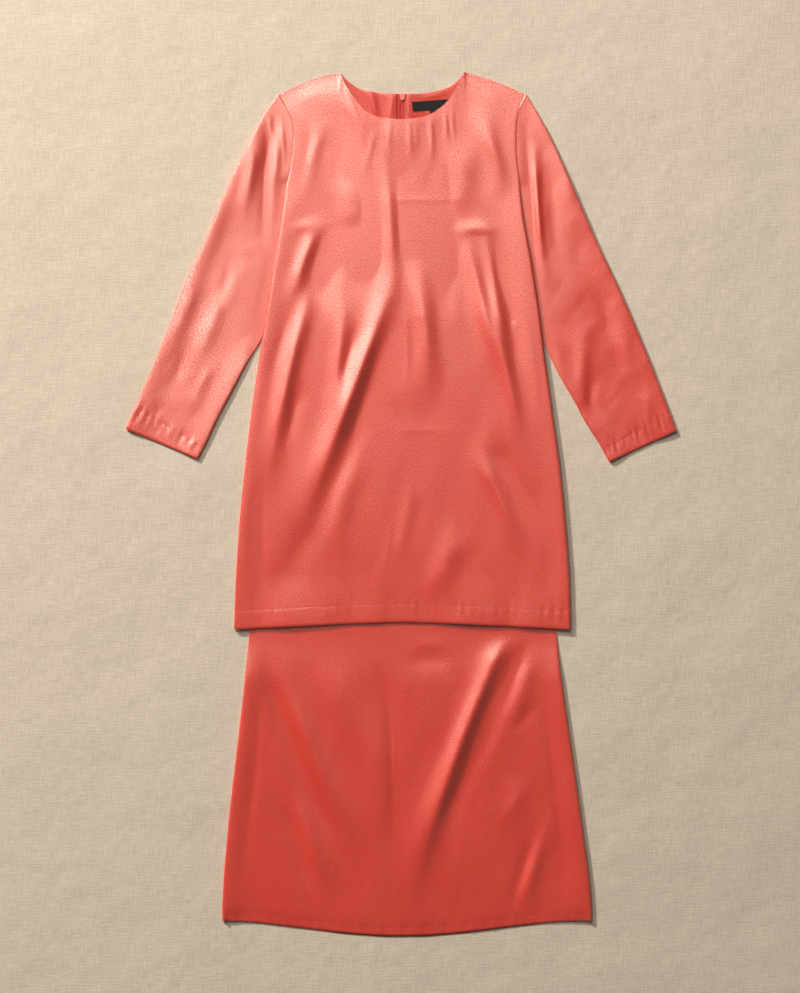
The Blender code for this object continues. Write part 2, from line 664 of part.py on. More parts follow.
def make_tunic_back(side):
    """One half of the back, with its neck facing and zip tape made from its own points."""
    points = back_points(side)
    sign = -1.0 if side == "left" else 1.0
    grid_object("tunic_back_" + side, points, "coral_satin")
    zip_rows = [row for row in points if row[0][1] > ZIP_BOTTOM_Y]
    tape = [row[1:4] for row in raised(zip_rows, LAYER)]
    grid_object("zip_tape_" + side, tape, "zip_tape")
    first = 2 if side == "left" else 1
    facing = []
    for number, row in enumerate(points[:FACING_ROWS + 1]):
        line = []
        for column in range(first, 8):
            x, y, z = row[column]
            z += 2.0 * LAYER if column < 4 else LAYER
            if column == 1 and number < len(FACING_CORNER_SHIFTS):
                x += sign * FACING_CORNER_SHIFTS[number]
            if number == 0:
                y -= FACING_DROP
            line.append((x, y, z))
        facing.append(line)
    return grid_object("neck_facing_" + side, facing, "coral_satin")


def make_zip_coil():
    """The coil over the two tapes' edges, a low half-round bar down the centre back."""
    centre = [row[1] for row in back_points("right") if COIL_TOP_Y > row[1][1] > ZIP_BOTTOM_Y]
    half = COIL_HALF_WIDTH
    profile = ((-half, 0.0), (-half * 0.75, COIL_HEIGHT * 0.8), (0.0, COIL_HEIGHT),
               (half * 0.75, COIL_HEIGHT * 0.8), (half, 0.0), (0.0, 0.0), (-half, 0.0))
    starts = [(CENTRE_BACK_X, COIL_TOP_Y, back_height(CENTRE_BACK_X, COIL_TOP_Y))] + centre
    lift = WALL / 2 + SEAM_GAP
    points = [[(CENTRE_BACK_X + x, y, z + lift + up) for x, up in profile] for _, y, z in starts]
    coil = bmesh.new()
    bmesh.ops.create_grid(coil, x_segments=len(profile) - 1, y_segments=len(points) - 1, size=1.0)
    for vertex in coil.verts:
        column = round((vertex.co.x + 1.0) / 2 * (len(profile) - 1))
        row = round((vertex.co.y + 1.0) / 2 * (len(points) - 1))
        vertex.co = Vector(points[row][column]) * MM
    bmesh.ops.remove_doubles(coil, verts=coil.verts, dist=1e-6)
    bmesh.ops.holes_fill(coil, edges=[edge for edge in coil.edges if edge.is_boundary])
    bmesh.ops.recalc_face_normals(coil, faces=coil.faces)
    mesh = bpy.data.meshes.new("zip_coil")
    coil.to_mesh(mesh)
    coil.free()
    return place_object("zip_coil", mesh, "zip_coil")


def make_sleeve(side, sections, folds):
    """One sleeve: a flattened tube from the armhole to the cuff, its under layer on the floor."""
    sign = -1.0 if side == "left" else 1.0
    body_edge = front_left if side == "left" else front_right
    armhole = back_left if side == "left" else back_right
    field = fold_field(folds)
    gap = ARMHOLE_GAP
    rings = []
    share_count = len(ARMHOLE_ROWS)

    def armhole_point(y):
        slope = (armhole(min(y + 2.0, SHOULDER_Y)) - armhole(y - 2.0)) / (min(y + 2.0, SHOULDER_Y) - y + 2.0)
        length = math.hypot(1.0, slope)
        return (armhole(y) + sign * gap / length, y - sign * gap * slope / length)

    def rest(y):
        return mix(SLEEVE_REST, front_seam(y), ease((y - 500.0) / 21.0))

    def top_height(x, y, from_outer, from_inner, section):
        width = from_outer + from_inner
        crown = SLEEVE_CROWN * math.sin(math.pi * from_outer / width)
        outer = (section.outer_top - SLEEVE_REST) * math.exp(-(from_outer / SLEEVE_OUTER_SPREAD) ** 2)
        inner = (section.inner_top - SLEEVE_REST) * math.exp(-(from_inner / SLEEVE_INNER_SPREAD) ** 2)
        free = SLEEVE_REST + outer + inner + crown + field(x, y)
        outside = sign * (x - body_edge(y))
        return mix(rest(y), free, ease((outside - SLEEVE_RISE_START) / SLEEVE_RISE))

    first = sections[0]
    ring_points = [armhole_point(y) for y in ARMHOLE_ROWS]
    ring_points[-1] = (first.inner_x + sign * 1.2, first.inner_y - 0.2)
    for section in sections:
        outer = Vector((section.outer_x + sign * gap * section.bulge, section.outer_y))
        inner = Vector((section.inner_x + sign * (gap + 0.4), section.inner_y))
        across = inner - outer
        width = across.length
        across.normalize()
        outer_roll = (section.outer_top - FLOOR_LAYER) / 2
        inner_roll = (section.inner_top - FLOOR_LAYER) / 2
        flat = []
        for number in range(share_count):
            share = (SHOULDER_Y - ARMHOLE_ROWS[number]) / (SHOULDER_Y - UNDERARM_Y)
            along = mix(outer_roll, width - inner_roll, share)
            place = outer + across * along
            straight_x = mix(first.outer_x, first.inner_x, share)
            straight = Vector((straight_x, mix(first.outer_y, first.inner_y, share)))
            bend = Vector(ring_points[number]) - straight
            inside = math.sin(math.pi * share) if 0.0 < share < 1.0 else 0.0
            if section.bulge == 1.0 and 0.0 < share < 1.0:
                place = Vector(ring_points[number])
            else:
                place = place + bend * section.bulge * min(1.0, 1.6 * inside)
            flat.append((place.x, place.y, along - outer_roll, width - inner_roll - along))
        low = [(x, y, FLOOR_LAYER) for x, y, _, _ in flat]
        high = [(x, y, top_height(x, y, a, b, section)) for x, y, a, b in flat]
        inner_mid = (flat[-1][0] + across.x * inner_roll, flat[-1][1] + across.y * inner_roll)
        outer_mid = (flat[0][0] - across.x * outer_roll, flat[0][1] - across.y * outer_roll)
        inner_bend = roll_points(flat[-1][:2], inner_mid, FLOOR_LAYER, high[-1][2])
        outer_bend = roll_points(flat[0][:2], outer_mid, FLOOR_LAYER, high[0][2])
        ring = low + inner_bend + list(reversed(high)) + list(reversed(outer_bend)) + [low[0]]
        rings.append(ring)
    return grid_object("sleeve_" + side, rings, "coral_satin", closed=True)


def roll_points(start, end, low, high):
    """Three points that carry a layer round a fold, from the lower layer up to the upper one."""
    bend = []
    for angle in (-45.0, 0.0, 45.0):
        out = math.cos(math.radians(angle))
        up = math.sin(math.radians(angle))
        x = mix(start[0], end[0], out)
        y = mix(start[1], end[1], out)
        bend.append((x, y, mix(low, high, (1.0 + up) / 2)))
    return bend


def make_skirt(piece):
    """The skirt's front or back, from the waist hidden under the tunic to the hem."""
    rolls = roll_columns()
    if piece == "front":
        marks = (WAIST_Y, 160.0, 50.0, -60.0, -140.0, SKIRT_FREE_Y + 2.0, -214.0, -232.0)
        panel_rows = 16
        last = (-649.0, SKIRT_LAST_ROW_Y)
        inner = 22
    else:
        marks = (WAIST_Y, 100.0, -90.0, SKIRT_FREE_Y + 2.0, -225.0)
        panel_rows = 6
        last = (SKIRT_LAST_ROW_Y,)
        inner = 8
    panel = tuple(mix(SKIRT_PANEL_TOP_Y, SKIRT_PANEL_LOW_Y, i / panel_rows) for i in range(panel_rows + 1))
    count = inner + 2 * len(rolls)

    def line_x(column, y):
        left, right = skirt_left(y), skirt_right(y)
        if column < len(rolls):
            return left + ROLL_WIDTH * rolls[column][0]
        if column >= count - len(rolls):
            return right - ROLL_WIDTH * rolls[count - 1 - column][0]
        share = (column - len(rolls) + 1) / (inner + 1)
        return mix(left + ROLL_WIDTH, right - ROLL_WIDTH, share)

    def height(column, x, y):
        loft = ease((SKIRT_FREE_Y - y) / (SKIRT_FREE_Y - SKIRT_LOFT_Y))
        edge = min(column, count - 1 - column)
        seam = mix(SLEEVE_REST, SKIRT_SEAM, loft)
        crest = mix(SLEEVE_REST, SKIRT_CREST, loft)
        if piece == "back":
            if edge >= len(rolls):
                return FLOOR_LAYER
            rise = max(0.0, seam - mix(SKIRT_HIDDEN_GAP, FACING_SEAM, loft ** 2) - FLOOR_LAYER)
            return FLOOR_LAYER + rise * (1.0 - rolls[edge][1])
        if edge < len(rolls):
            return mix(seam, crest, rolls[edge][1])
        to_side = min(x - skirt_left(y), skirt_right(y) - x)
        body = SLEEVE_REST + loft * (SKIRT_CROWN + skirt_folds(x, y))
        settled = mix(body, crest, math.exp(-((to_side - ROLL_WIDTH) / SIDE_SPREAD) ** 2))
        near_hem = ease((y - skirt_hem(x, "front")) / 25.0)
        return mix(SLEEVE_REST + 0.4, settled, mix(0.55, 1.0, near_hem))

    rows = []
    for mark in marks + panel + last:
        row = []
        for column in range(count):
            x = line_x(column, mark)
            share = max(0.0, (SKIRT_CURVE_START_Y - mark) / (SKIRT_CURVE_START_Y - SKIRT_LAST_ROW_Y))
            y = mark + (skirt_hem(x, piece) - SKIRT_LAST_ROW_Y) * share ** 1.5
            row.append((x, y, height(column, x, y)))
        rows.append(row)
    return grid_object("skirt_" + piece, rows, "coral_satin")


def surface_reader(piece):
    """Return a function that gives the height of a piece's middle surface at a place."""
    mesh = piece.data
    tree = BVHTree.FromPolygons([v.co for v in mesh.vertices], [p.vertices for p in mesh.polygons])

    def read(x, y):
        hit = tree.ray_cast(Vector((x * MM, y * MM, 1.0)), Vector((0.0, 0.0, -1.0)))[0]
        return hit.z / MM

    return read


def make_label_piece(name, facing, along, down, length, height):
    """A flat woven piece lying on the neck facing, tilted with the label."""
    read = surface_reader(facing)
    reach_x, reach_y = math.cos(LABEL_TILT), math.sin(LABEL_TILT)
    columns, rows = 7, 2
    points = []
    for row in range(rows):
        up = mix(down, down + height, row / (rows - 1))
        line = []
        for column in range(columns):
            right = along + length * column / (columns - 1)
            x = LABEL_START[0] + right * reach_x - up * reach_y
            y = LABEL_START[1] + right * reach_y + up * reach_x
            lift = (WALL + LABEL_WALL) / 2 + SEAM_GAP
            line.append((x, y, read(x, y) + lift))
        points.append(line)
    return grid_object(name, points, "black_label", wall=LABEL_WALL)


def box_mesh(name, low, high):
    """A box between two corners, in millimetres."""
    box = bmesh.new()
    bmesh.ops.create_cube(box, size=1.0)
    for vertex in box.verts:
        for axis in range(3):
            vertex.co[axis] = mix(low[axis], high[axis], vertex.co[axis] + 0.5) * MM
    mesh = bpy.data.meshes.new(name)
    box.to_mesh(mesh)
    box.free()
    return mesh


def add_tool(name, low, high):
    """A box kept with the cutters."""
    tool = bpy.data.objects.new(name, box_mesh(name, low, high))
    cutters.objects.link(tool)
    tool.display_type = "WIRE"
    tool.hide_render = True
    return tool


def join_or_cut(piece, tool, operation):
    """Give a piece a Boolean with a tool."""
    step = piece.modifiers.new(tool.name, "BOOLEAN")
    step.operation = operation
    step.object = tool


def make_zip_slider():
    """The slider: a shield-shaped body over the coil, with a lug through the slit for the pull."""
    low_y = SLIDER_TOP_Y - SLIDER_LENGTH
    bottom = PULL_LIFT + 2.0 * LAYER
    half = SLIDER_TOP_WIDTH / 2
    mesh = box_mesh("zip_slider", (-half, low_y, bottom), (half, SLIDER_TOP_Y, bottom + SLIDER_THICKNESS))
    for vertex in mesh.vertices:
        if vertex.co.y < (low_y + 1.0) * MM:
            vertex.co.x *= SLIDER_LOW_WIDTH / SLIDER_TOP_WIDTH
        vertex.co.x += CENTRE_BACK_X * MM
    slider = place_object("zip_slider", mesh, "zip_metal")
    rounding = slider.modifiers.new("rounding", "BEVEL")
    rounding.width = 0.6 * MM
    rounding.segments = 2
    lug_y = PULL_AXIS_Y - LUG_LENGTH / 2
    lug = add_tool("slider_lug", (CENTRE_BACK_X - LUG_WIDTH / 2, lug_y, 0.0),
                   (CENTRE_BACK_X + LUG_WIDTH / 2, lug_y + LUG_LENGTH, bottom + 0.6))
    half_window = LUG_WINDOW[0] / 2
    window = add_tool("slider_window", (CENTRE_BACK_X - LUG_WIDTH, PULL_AXIS_Y - half_window, LUG_FLOOR),
                      (CENTRE_BACK_X + LUG_WIDTH, PULL_AXIS_Y + half_window, LUG_FLOOR + LUG_WINDOW[1]))
    join_or_cut(slider, lug, "UNION")
    join_or_cut(slider, window, "DIFFERENCE")
    return slider


def make_zip_pull():
    """The pull on the outside of the back: a drop-shaped plate whose window holds the slider's lug."""
    outline = bpy.data.curves.new("zip_pull", "CURVE")
    outline.dimensions = "2D"
    outline.fill_mode = "BOTH"
    outline.extrude = PULL_THICKNESS / 2 * MM
    spline = outline.splines.new("POLY")
    bar = PULL_THICKNESS / 2
    turn = [math.radians(180.0 * i / 12) for i in range(13)]
    middle = -(PULL_LENGTH - PULL_WIDE_HALF)
    points = [(-PULL_NECK_HALF, bar), (PULL_NECK_HALF, bar)]
    points += [(PULL_NECK_HALF, PULL_NECK_END), (PULL_WIDE_HALF, PULL_WIDE_START)]
    points += [(PULL_WIDE_HALF * math.cos(a), middle - PULL_WIDE_HALF * math.sin(a)) for a in turn]
    points += [(-PULL_WIDE_HALF, PULL_WIDE_START), (-PULL_NECK_HALF, PULL_NECK_END)]
    spline.points.add(len(points) - 1)
    for point, (x, y) in zip(spline.points, points):
        point.co = (x * MM, y * MM, 0.0, 1.0)
    spline.use_cyclic_u = True
    curve_object = bpy.data.objects.new("pull_outline", outline)
    garment.objects.link(curve_object)
    flat = bpy.data.meshes.new_from_object(curve_object.evaluated_get(bpy.context.evaluated_depsgraph_get()))
    bpy.data.objects.remove(curve_object, do_unlink=True)
    weld = bmesh.new()
    weld.from_mesh(flat)
    bmesh.ops.remove_doubles(weld, verts=weld.verts, dist=1e-6)
    bmesh.ops.recalc_face_normals(weld, faces=weld.faces)
    weld.to_mesh(flat)
    weld.free()
    flat.name = "zip_pull"
    pull = place_object("zip_pull", flat, "zip_metal")
    half_x = PULL_WINDOW[0] / 2
    window = add_tool("pull_window", (-half_x, -bar - PULL_WINDOW[1], -2.0), (half_x, -bar, 2.0))
    join_or_cut(pull, window, "DIFFERENCE")
    tilt = math.asin((PULL_AXIS_Z - bar) / PULL_LENGTH)
    for item in (pull, window):
        item.location = Vector((CENTRE_BACK_X, PULL_AXIS_Y, PULL_AXIS_Z)) * MM
        item.rotation_euler = (tilt, 0.0, 0.0)
    return pull


clear_scene()
garment = bpy.data.collections.new("baju_kurung")
cutters = bpy.data.collections.new("cutters")
bpy.context.scene.collection.children.link(garment)
bpy.context.scene.collection.children.link(cutters)
anchor = bpy.data.objects.new("baju_kurung_origin", None)
garment.objects.link(anchor)

make_skirt("back")
make_skirt("front")
make_tunic_back("left")
right_facing = make_tunic_back("right")
make_zip_coil()
make_zip_slider()
make_zip_pull()
make_label_piece("neck_label", right_facing, 0.0, 0.0, LABEL_LENGTH, LABEL_HEIGHT)
make_label_piece("size_tab", right_facing, TAB_ALONG, -TAB_HEIGHT - SEAM_GAP, TAB_WIDTH, TAB_HEIGHT)
make_sleeve("left", LEFT_SLEEVE, LEFT_SLEEVE_FOLDS)
make_sleeve("right", RIGHT_SLEEVE, RIGHT_SLEEVE_FOLDS)
make_tunic_front()
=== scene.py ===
# %% [markdown]
# # A baju kurung laid flat
# The garment is a set in coral satin: a long-sleeved tunic with a round neck and a concealed zip at
# centre back, laid over the top of its long A-line skirt. Everything is cloth, so nearly every piece below
# is one fine sheet on a named outline, given its height by a short table of folds. The hard pieces are the
# zip's teeth, slider and pull.

# %% Load the fixed frame
import math
from collections import namedtuple

import bmesh
import bpy
import numpy as np
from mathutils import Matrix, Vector
from mathutils.bvhtree import BVHTree


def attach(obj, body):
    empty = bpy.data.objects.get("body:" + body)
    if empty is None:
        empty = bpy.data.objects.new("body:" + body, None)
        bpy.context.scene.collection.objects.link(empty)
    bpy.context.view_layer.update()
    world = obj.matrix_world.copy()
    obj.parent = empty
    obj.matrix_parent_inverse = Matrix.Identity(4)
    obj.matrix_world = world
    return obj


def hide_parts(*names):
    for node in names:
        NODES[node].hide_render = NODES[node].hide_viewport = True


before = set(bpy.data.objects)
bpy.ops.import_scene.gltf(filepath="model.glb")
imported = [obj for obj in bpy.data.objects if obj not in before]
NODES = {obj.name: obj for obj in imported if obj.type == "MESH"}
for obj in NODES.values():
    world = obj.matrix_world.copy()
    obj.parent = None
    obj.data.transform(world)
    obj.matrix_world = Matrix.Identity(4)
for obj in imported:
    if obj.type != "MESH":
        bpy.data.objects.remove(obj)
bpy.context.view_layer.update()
MM = 0.001

# %% [markdown]
# ## The camera, the light and the floor
# A flat garment is photographed from straight above. The camera stands 3 m over it with a long lens, so
# nothing leans. The picture is 1559 mm tall on the floor, which sets the lens. One softbox low at the upper
# left rakes over the satin: it makes the folds gleam on one side and throws short shadows to the lower
# right. A broad, higher softbox gives the cloth its pale gloss, and a dim room fills the rest.

# %% Camera
CAMERA_HEIGHT = 3.0
VIEW_TALL = 1.559
VIEW_CENTRE = (-0.0024, 0.0133)
SENSOR = 36.0

camera_data = bpy.data.cameras.new("overhead_camera")
camera_data.sensor_width = SENSOR
camera_data.lens = SENSOR * CAMERA_HEIGHT / VIEW_TALL
camera = bpy.data.objects.new("overhead_camera", camera_data)
camera.location = (VIEW_CENTRE[0], VIEW_CENTRE[1], CAMERA_HEIGHT)
bpy.context.scene.collection.objects.link(camera)
bpy.context.scene.camera = camera
print("lens", round(camera_data.lens, 1), "mm")

# %% Lights
KEY_DISTANCE = 8.0
KEY_DIRECTION = Vector((-0.62, 0.73, 0.47)).normalized()
KEY_SIZE = 0.8
KEY_WATTS = 770.0
FILL_DISTANCE = 4.2
FILL_DIRECTION = Vector((-0.32, 0.62, 0.90)).normalized()
FILL_SIZE = 1.5
FILL_WATTS = 76.0
ROOM_STRENGTH = 0.12


def add_softbox(name, place, size, watts, colour):
    """Add a square softbox that faces the middle of the garment."""
    data = bpy.data.lights.new(name, "AREA")
    data.shape = "SQUARE"
    data.size = size
    data.energy = watts
    data.color = colour
    light = bpy.data.objects.new(name, data)
    light.location = place
    light.rotation_euler = (-Vector(place)).to_track_quat("-Z", "Y").to_euler()
    bpy.context.scene.collection.objects.link(light)
    return light


key = add_softbox("key_softbox", KEY_DIRECTION * KEY_DISTANCE, KEY_SIZE, KEY_WATTS, (1.0, 0.975, 0.94))
add_softbox("fill_softbox", FILL_DIRECTION * FILL_DISTANCE, FILL_SIZE, FILL_WATTS, (1.0, 0.96, 0.92))
room = bpy.data.worlds.new("pale_room")
room.use_nodes = True
room.node_tree.nodes["Background"].inputs["Color"].default_value = (1.0, 0.97, 0.93, 1.0)
room.node_tree.nodes["Background"].inputs["Strength"].default_value = ROOM_STRENGTH
bpy.context.scene.world = room
bpy.context.scene.view_settings.view_transform = "Standard"
print("key light at", [round(v, 2) for v in key.location])

# %% [markdown]
# ## Shared helpers
# An outline is a table with a row for each section and a named column for each edge. `track` reads one
# column as a smooth curve, so a few rows are enough. All tables are in millimetres and become metres only
# when a mesh is written.

# %% Curves through tables


def table(columns, rows):
    """Name the columns of a table of numbers."""
    row_type = namedtuple("Row", columns)
    return tuple(row_type(*map(float, row)) for row in rows)


def mix(low, high, share):
    """Blend two values."""
    return low + (high - low) * share


def ease(value):
    """Ease from 0 to 1."""
    value = np.clip(value, 0.0, 1.0)
    return value * value * (3.0 - 2.0 * value)


def track(rows, key_column, column, steps=24):
    """Return a smooth curve through one column of a table, read along another column."""
    knots = np.array(sorted((getattr(row, key_column), getattr(row, column)) for row in rows))
    places, values = knots[:, 0], knots[:, 1]
    chords = np.diff(values) / np.diff(places)
    slopes = np.concatenate([chords[:1], np.zeros(len(places) - 2), chords[-1:]])
    for i in range(1, len(places) - 1):
        before, after = chords[i - 1], chords[i]
        slopes[i] = 0.0 if before * after <= 0.0 else 2.0 * before * after / (before + after)
    fine_places, fine_values = [], []
    for i in range(len(places) - 1):
        t = np.linspace(0.0, 1.0, steps, endpoint=False)
        span = places[i + 1] - places[i]
        rise = mix(values[i], values[i + 1], ease(t))
        fine_places.append(places[i] + span * t)
        fine_values.append(rise + span * t * (1.0 - t) * ((1.0 - t) * slopes[i] - t * slopes[i + 1]))
    fine_places = np.concatenate(fine_places + [places[-1:]])
    fine_values = np.concatenate(fine_values + [values[-1:]])
    return lambda place: np.interp(place, fine_places, fine_values)


def soft_floor(height, low, softness=0.8):
    """Keep a height above a lower one, with a rounded turn."""
    over = height - low
    return low + 0.5 * (over + np.sqrt(over ** 2 + softness ** 2))


# %% [markdown]
# ## Folds
# Each fold is one row: how high it stands, how wide it is, how much steeper its right side is, how sharp
# its crest is, and the start, middle and end of its line. A negative height is a trough. Folds in laid
# satin are long, soft and uneven, so no two rows are alike.

# %% Fold heights
FOLD = "height width lean sharp x1 y1 x2 y2 x3 y3"
FOLD_FADE = 0.46
FOLD_FLARE = 1.9
FOLD_VANISH = 1.5


def fold_line(fold, steps=14):
    """Return the points of a fold's line, a smooth curve through its three places."""
    t = np.linspace(0.0, 1.0, steps + 1)
    start, middle, end = (1.0 - t) * (1.0 - 2.0 * t), 4.0 * t * (1.0 - t), t * (2.0 * t - 1.0)
    x = fold.x1 * start + fold.x2 * middle + fold.x3 * end
    y = fold.y1 * start + fold.y2 * middle + fold.y3 * end
    return x, y


def fold_height(folds, x, y):
    """Return the height of all the folds at each place of a grid."""
    total = np.zeros_like(x)
    for fold in folds:
        line_x, line_y = fold_line(fold)
        nearest = np.full(x.shape, 1e9)
        along = np.zeros_like(x)
        side = np.zeros_like(x)
        count = len(line_x) - 1
        for i in range(count):
            step_x, step_y = line_x[i + 1] - line_x[i], line_y[i + 1] - line_y[i]
            share = ((x - line_x[i]) * step_x + (y - line_y[i]) * step_y) / (step_x ** 2 + step_y ** 2)
            share = np.clip(share, 0.0, 1.0)
            away_x = x - line_x[i] - step_x * share
            away_y = y - line_y[i] - step_y * share
            distance = np.hypot(away_x, away_y)
            closer = distance < nearest
            nearest = np.where(closer, distance, nearest)
            along = np.where(closer, (i + share) / count, along)
            side = np.where(closer, away_x, side)
        fade = ease(np.minimum(along, 1.0 - along) / FOLD_FADE) ** FOLD_VANISH
        width = fold.width * np.where(side > 0.0, 1.0 - fold.lean, 1.0) * mix(FOLD_FLARE, 1.0, fade)
        total += fold.height * np.exp(-(nearest / width) ** (2.0 - fold.sharp)) * fade
    return total


def ripple(x, y, seed, longest, shortest, count=9, spread=math.pi / 2):
    """Return gentle unevenness from -1 to 1, made of a few crossing waves with fixed phases.

    The waves' lines run down the cloth, turned by up to the spread."""
    dice = np.random.default_rng(seed)
    total = np.zeros_like(x)
    for _ in range(count):
        length = dice.uniform(shortest, longest)
        turn = dice.uniform(-spread, spread)
        phase = dice.uniform(0.0, 2.0 * math.pi)
        total += np.sin((x * math.cos(turn) + y * math.sin(turn)) * 2.0 * math.pi / length + phase)
    return total / math.sqrt(count * 2.0)


# %% [markdown]
# ## The finishes
# Satin is a smooth weave whose long floating threads catch the light: a deep coral body colour under a
# pale, broad gloss that breaks into fine sparkle. A grain of about one and a half millimetres sets the
# roughness, the strength of the gloss and a slight relief, and the gloss spreads across the threads.

# %% Node helpers


def new_material(name):
    """Start a material and return it with its nodes, links and main shader."""
    material = bpy.data.materials.new(name)
    material.use_nodes = True
    tree = material.node_tree
    return material, tree.nodes, tree.links, tree.nodes["Principled BSDF"]


def add_noise(nodes, links, vector, scale, detail=2.0, roughness=0.5):
    """Add a noise texture read at a vector and return its node."""
    noise = nodes.new("ShaderNodeTexNoise")
    noise.inputs["Scale"].default_value = scale
    noise.inputs["Detail"].default_value = detail
    noise.inputs["Roughness"].default_value = roughness
    links.new(vector, noise.inputs["Vector"])
    return noise


def add_range(nodes, links, value, low, high, from_low=0.0, from_high=1.0):
    """Map a value to a range and return the socket."""
    node = nodes.new("ShaderNodeMapRange")
    node.inputs["From Min"].default_value = from_low
    node.inputs["From Max"].default_value = from_high
    node.inputs["To Min"].default_value = low
    node.inputs["To Max"].default_value = high
    links.new(value, node.inputs["Value"])
    return node.outputs["Result"]


def add_colour_mix(nodes, links, share, first, second):
    """Blend two colours by a share and return the socket."""
    node = nodes.new("ShaderNodeMix")
    node.data_type = "RGBA"
    links.new(share, node.inputs["Factor"])
    node.inputs["A"].default_value = (*first, 1.0)
    node.inputs["B"].default_value = (*second, 1.0)
    return node.outputs["Result"]


def add_bump(nodes, links, height, strength, distance, normal=None):
    """Add a bump and return its normal socket."""
    bump = nodes.new("ShaderNodeBump")
    bump.inputs["Strength"].default_value = strength
    bump.inputs["Distance"].default_value = distance
    links.new(height, bump.inputs["Height"])
    if normal is not None:
        links.new(normal, bump.inputs["Normal"])
    return bump.outputs["Normal"]


# %% Coral satin
SATIN_DEEP = (0.77, 0.021, 0.010)
SATIN_PALE = (0.84, 0.046, 0.022)
SATIN_GLOSS_TINT = (1.0, 0.90, 0.76, 1.0)
SATIN_IOR = 2.65
GRAIN_SCALE = 640.0
PATCH_SCALE = 9.0
GRAIN_RELIEF = 0.0008
SATIN_ROUGHNESS = (0.25, 0.44)
SPARKLE = (0.25, 1.0)
THREAD_SPREAD = 0.55


def make_satin(name, gloss=1.0, painted_shade=1.0):
    """The satin: coral with a broad pale gloss and a fine sparkle, on the piece's own UV map in metres."""
    material, nodes, links, shader = new_material(name)
    uv = nodes.new("ShaderNodeUVMap")
    uv.uv_map = "cloth"
    place = uv.outputs["UV"]
    stretch = nodes.new("ShaderNodeMapping")
    stretch.inputs["Scale"].default_value = (1.0, 0.7, 1.0)
    links.new(place, stretch.inputs["Vector"])
    grain = add_noise(nodes, links, stretch.outputs["Vector"], GRAIN_SCALE, 4.0, 0.7)
    patch = add_noise(nodes, links, place, PATCH_SCALE, 3.0, 0.5)
    share = add_range(nodes, links, patch.outputs["Fac"], 0.25, 0.85, 0.3, 0.7)
    # A factor below 1 darkens both satin colours: painted shade.
    deep, pale = (tuple(channel * painted_shade for channel in colour) for colour in (SATIN_DEEP, SATIN_PALE))
    colour = add_colour_mix(nodes, links, share, deep, pale)
    links.new(colour, shader.inputs["Base Color"])
    rough = add_range(nodes, links, grain.outputs["Fac"], *SATIN_ROUGHNESS, 0.3, 0.7)
    links.new(rough, shader.inputs["Roughness"])
    shader.inputs["IOR"].default_value = SATIN_IOR
    low, high = (level * gloss for level in SPARKLE)
    sparkle = add_range(nodes, links, grain.outputs["Fac"], low, high, 0.40, 0.62)
    links.new(sparkle, shader.inputs["Specular IOR Level"])
    shader.inputs["Specular Tint"].default_value = SATIN_GLOSS_TINT
    shader.inputs["Anisotropic"].default_value = THREAD_SPREAD
    tangent = nodes.new("ShaderNodeTangent")
    tangent.direction_type = "UV_MAP"
    tangent.uv_map = "cloth"
    links.new(tangent.outputs["Tangent"], shader.inputs["Tangent"])
    normal = add_bump(nodes, links, grain.outputs["Fac"], 0.9, GRAIN_RELIEF)
    links.new(normal, shader.inputs["Normal"])
    return material


satin = make_satin("coral_satin")
# The facing's copy has weaker gloss and colours darkened to 0.78: painted shade where the facing lies low.
facing_satin_painted_shade = make_satin("coral_satin_facing", 0.34, 0.78)

# %% [markdown]
# The label is plain black woven tape. The zip's tapes are matte, its teeth are glossy nylon in a brighter
# red, and the slider and pull are lacquered metal in the colour of the cloth.

# %% Label, zip and thread


def make_woven(name, dark, pale, threads, roughness):
    """A plain woven tape: two crossing sets of fine threads on the piece's UV map."""
    material, nodes, links, shader = new_material(name)
    uv = nodes.new("ShaderNodeUVMap")
    uv.uv_map = "cloth"
    heights = []
    for direction in ("X", "Y"):
        wave = nodes.new("ShaderNodeTexWave")
        wave.bands_direction = direction
        wave.inputs["Scale"].default_value = threads
        wave.inputs["Distortion"].default_value = 0.4
        links.new(uv.outputs["UV"], wave.inputs["Vector"])
        heights.append(wave.outputs["Fac"])
    both = nodes.new("ShaderNodeMath")
    both.operation = "MULTIPLY"
    links.new(heights[0], both.inputs[0])
    links.new(heights[1], both.inputs[1])
    links.new(add_colour_mix(nodes, links, both.outputs[0], dark, pale), shader.inputs["Base Color"])
    shader.inputs["Roughness"].default_value = roughness
    links.new(add_bump(nodes, links, both.outputs[0], 0.4, 0.0002), shader.inputs["Normal"])
    return material


def make_lacquer(name, colour, roughness, metallic):
    """Smooth coloured nylon or lacquered metal, a little worn."""
    material, nodes, links, shader = new_material(name)
    place = nodes.new("ShaderNodeTexCoord").outputs["Object"]
    wear = add_noise(nodes, links, place, 900.0, 3.0)
    worn = tuple(min(1.0, channel * 1.25 + 0.03) for channel in colour)
    links.new(add_colour_mix(nodes, links, wear.outputs["Fac"], colour, worn), shader.inputs["Base Color"])
    low, high = roughness - 0.08, roughness + 0.1
    links.new(add_range(nodes, links, wear.outputs["Fac"], low, high), shader.inputs["Roughness"])
    shader.inputs["Metallic"].default_value = metallic
    return material


label_black = make_woven("black_label", (0.006, 0.0035, 0.0035), (0.012, 0.008, 0.008), 900.0, 0.85)
tape_coral = make_woven("zip_tape", (0.48, 0.024, 0.020), (0.66, 0.05, 0.04), 700.0, 0.8)
coil_red = make_lacquer("zip_coil", (0.88, 0.05, 0.045), 0.4, 0.0)
zip_lacquer = make_lacquer("zip_metal", (0.82, 0.17, 0.13), 0.30, 0.1)
thread = make_lacquer("thread", (0.36, 0.022, 0.016), 0.7, 0.0)
label_thread = make_lacquer("label_thread", (0.05, 0.035, 0.035), 0.5, 0.0)
print("finishes:", [m.name for m in bpy.data.materials])

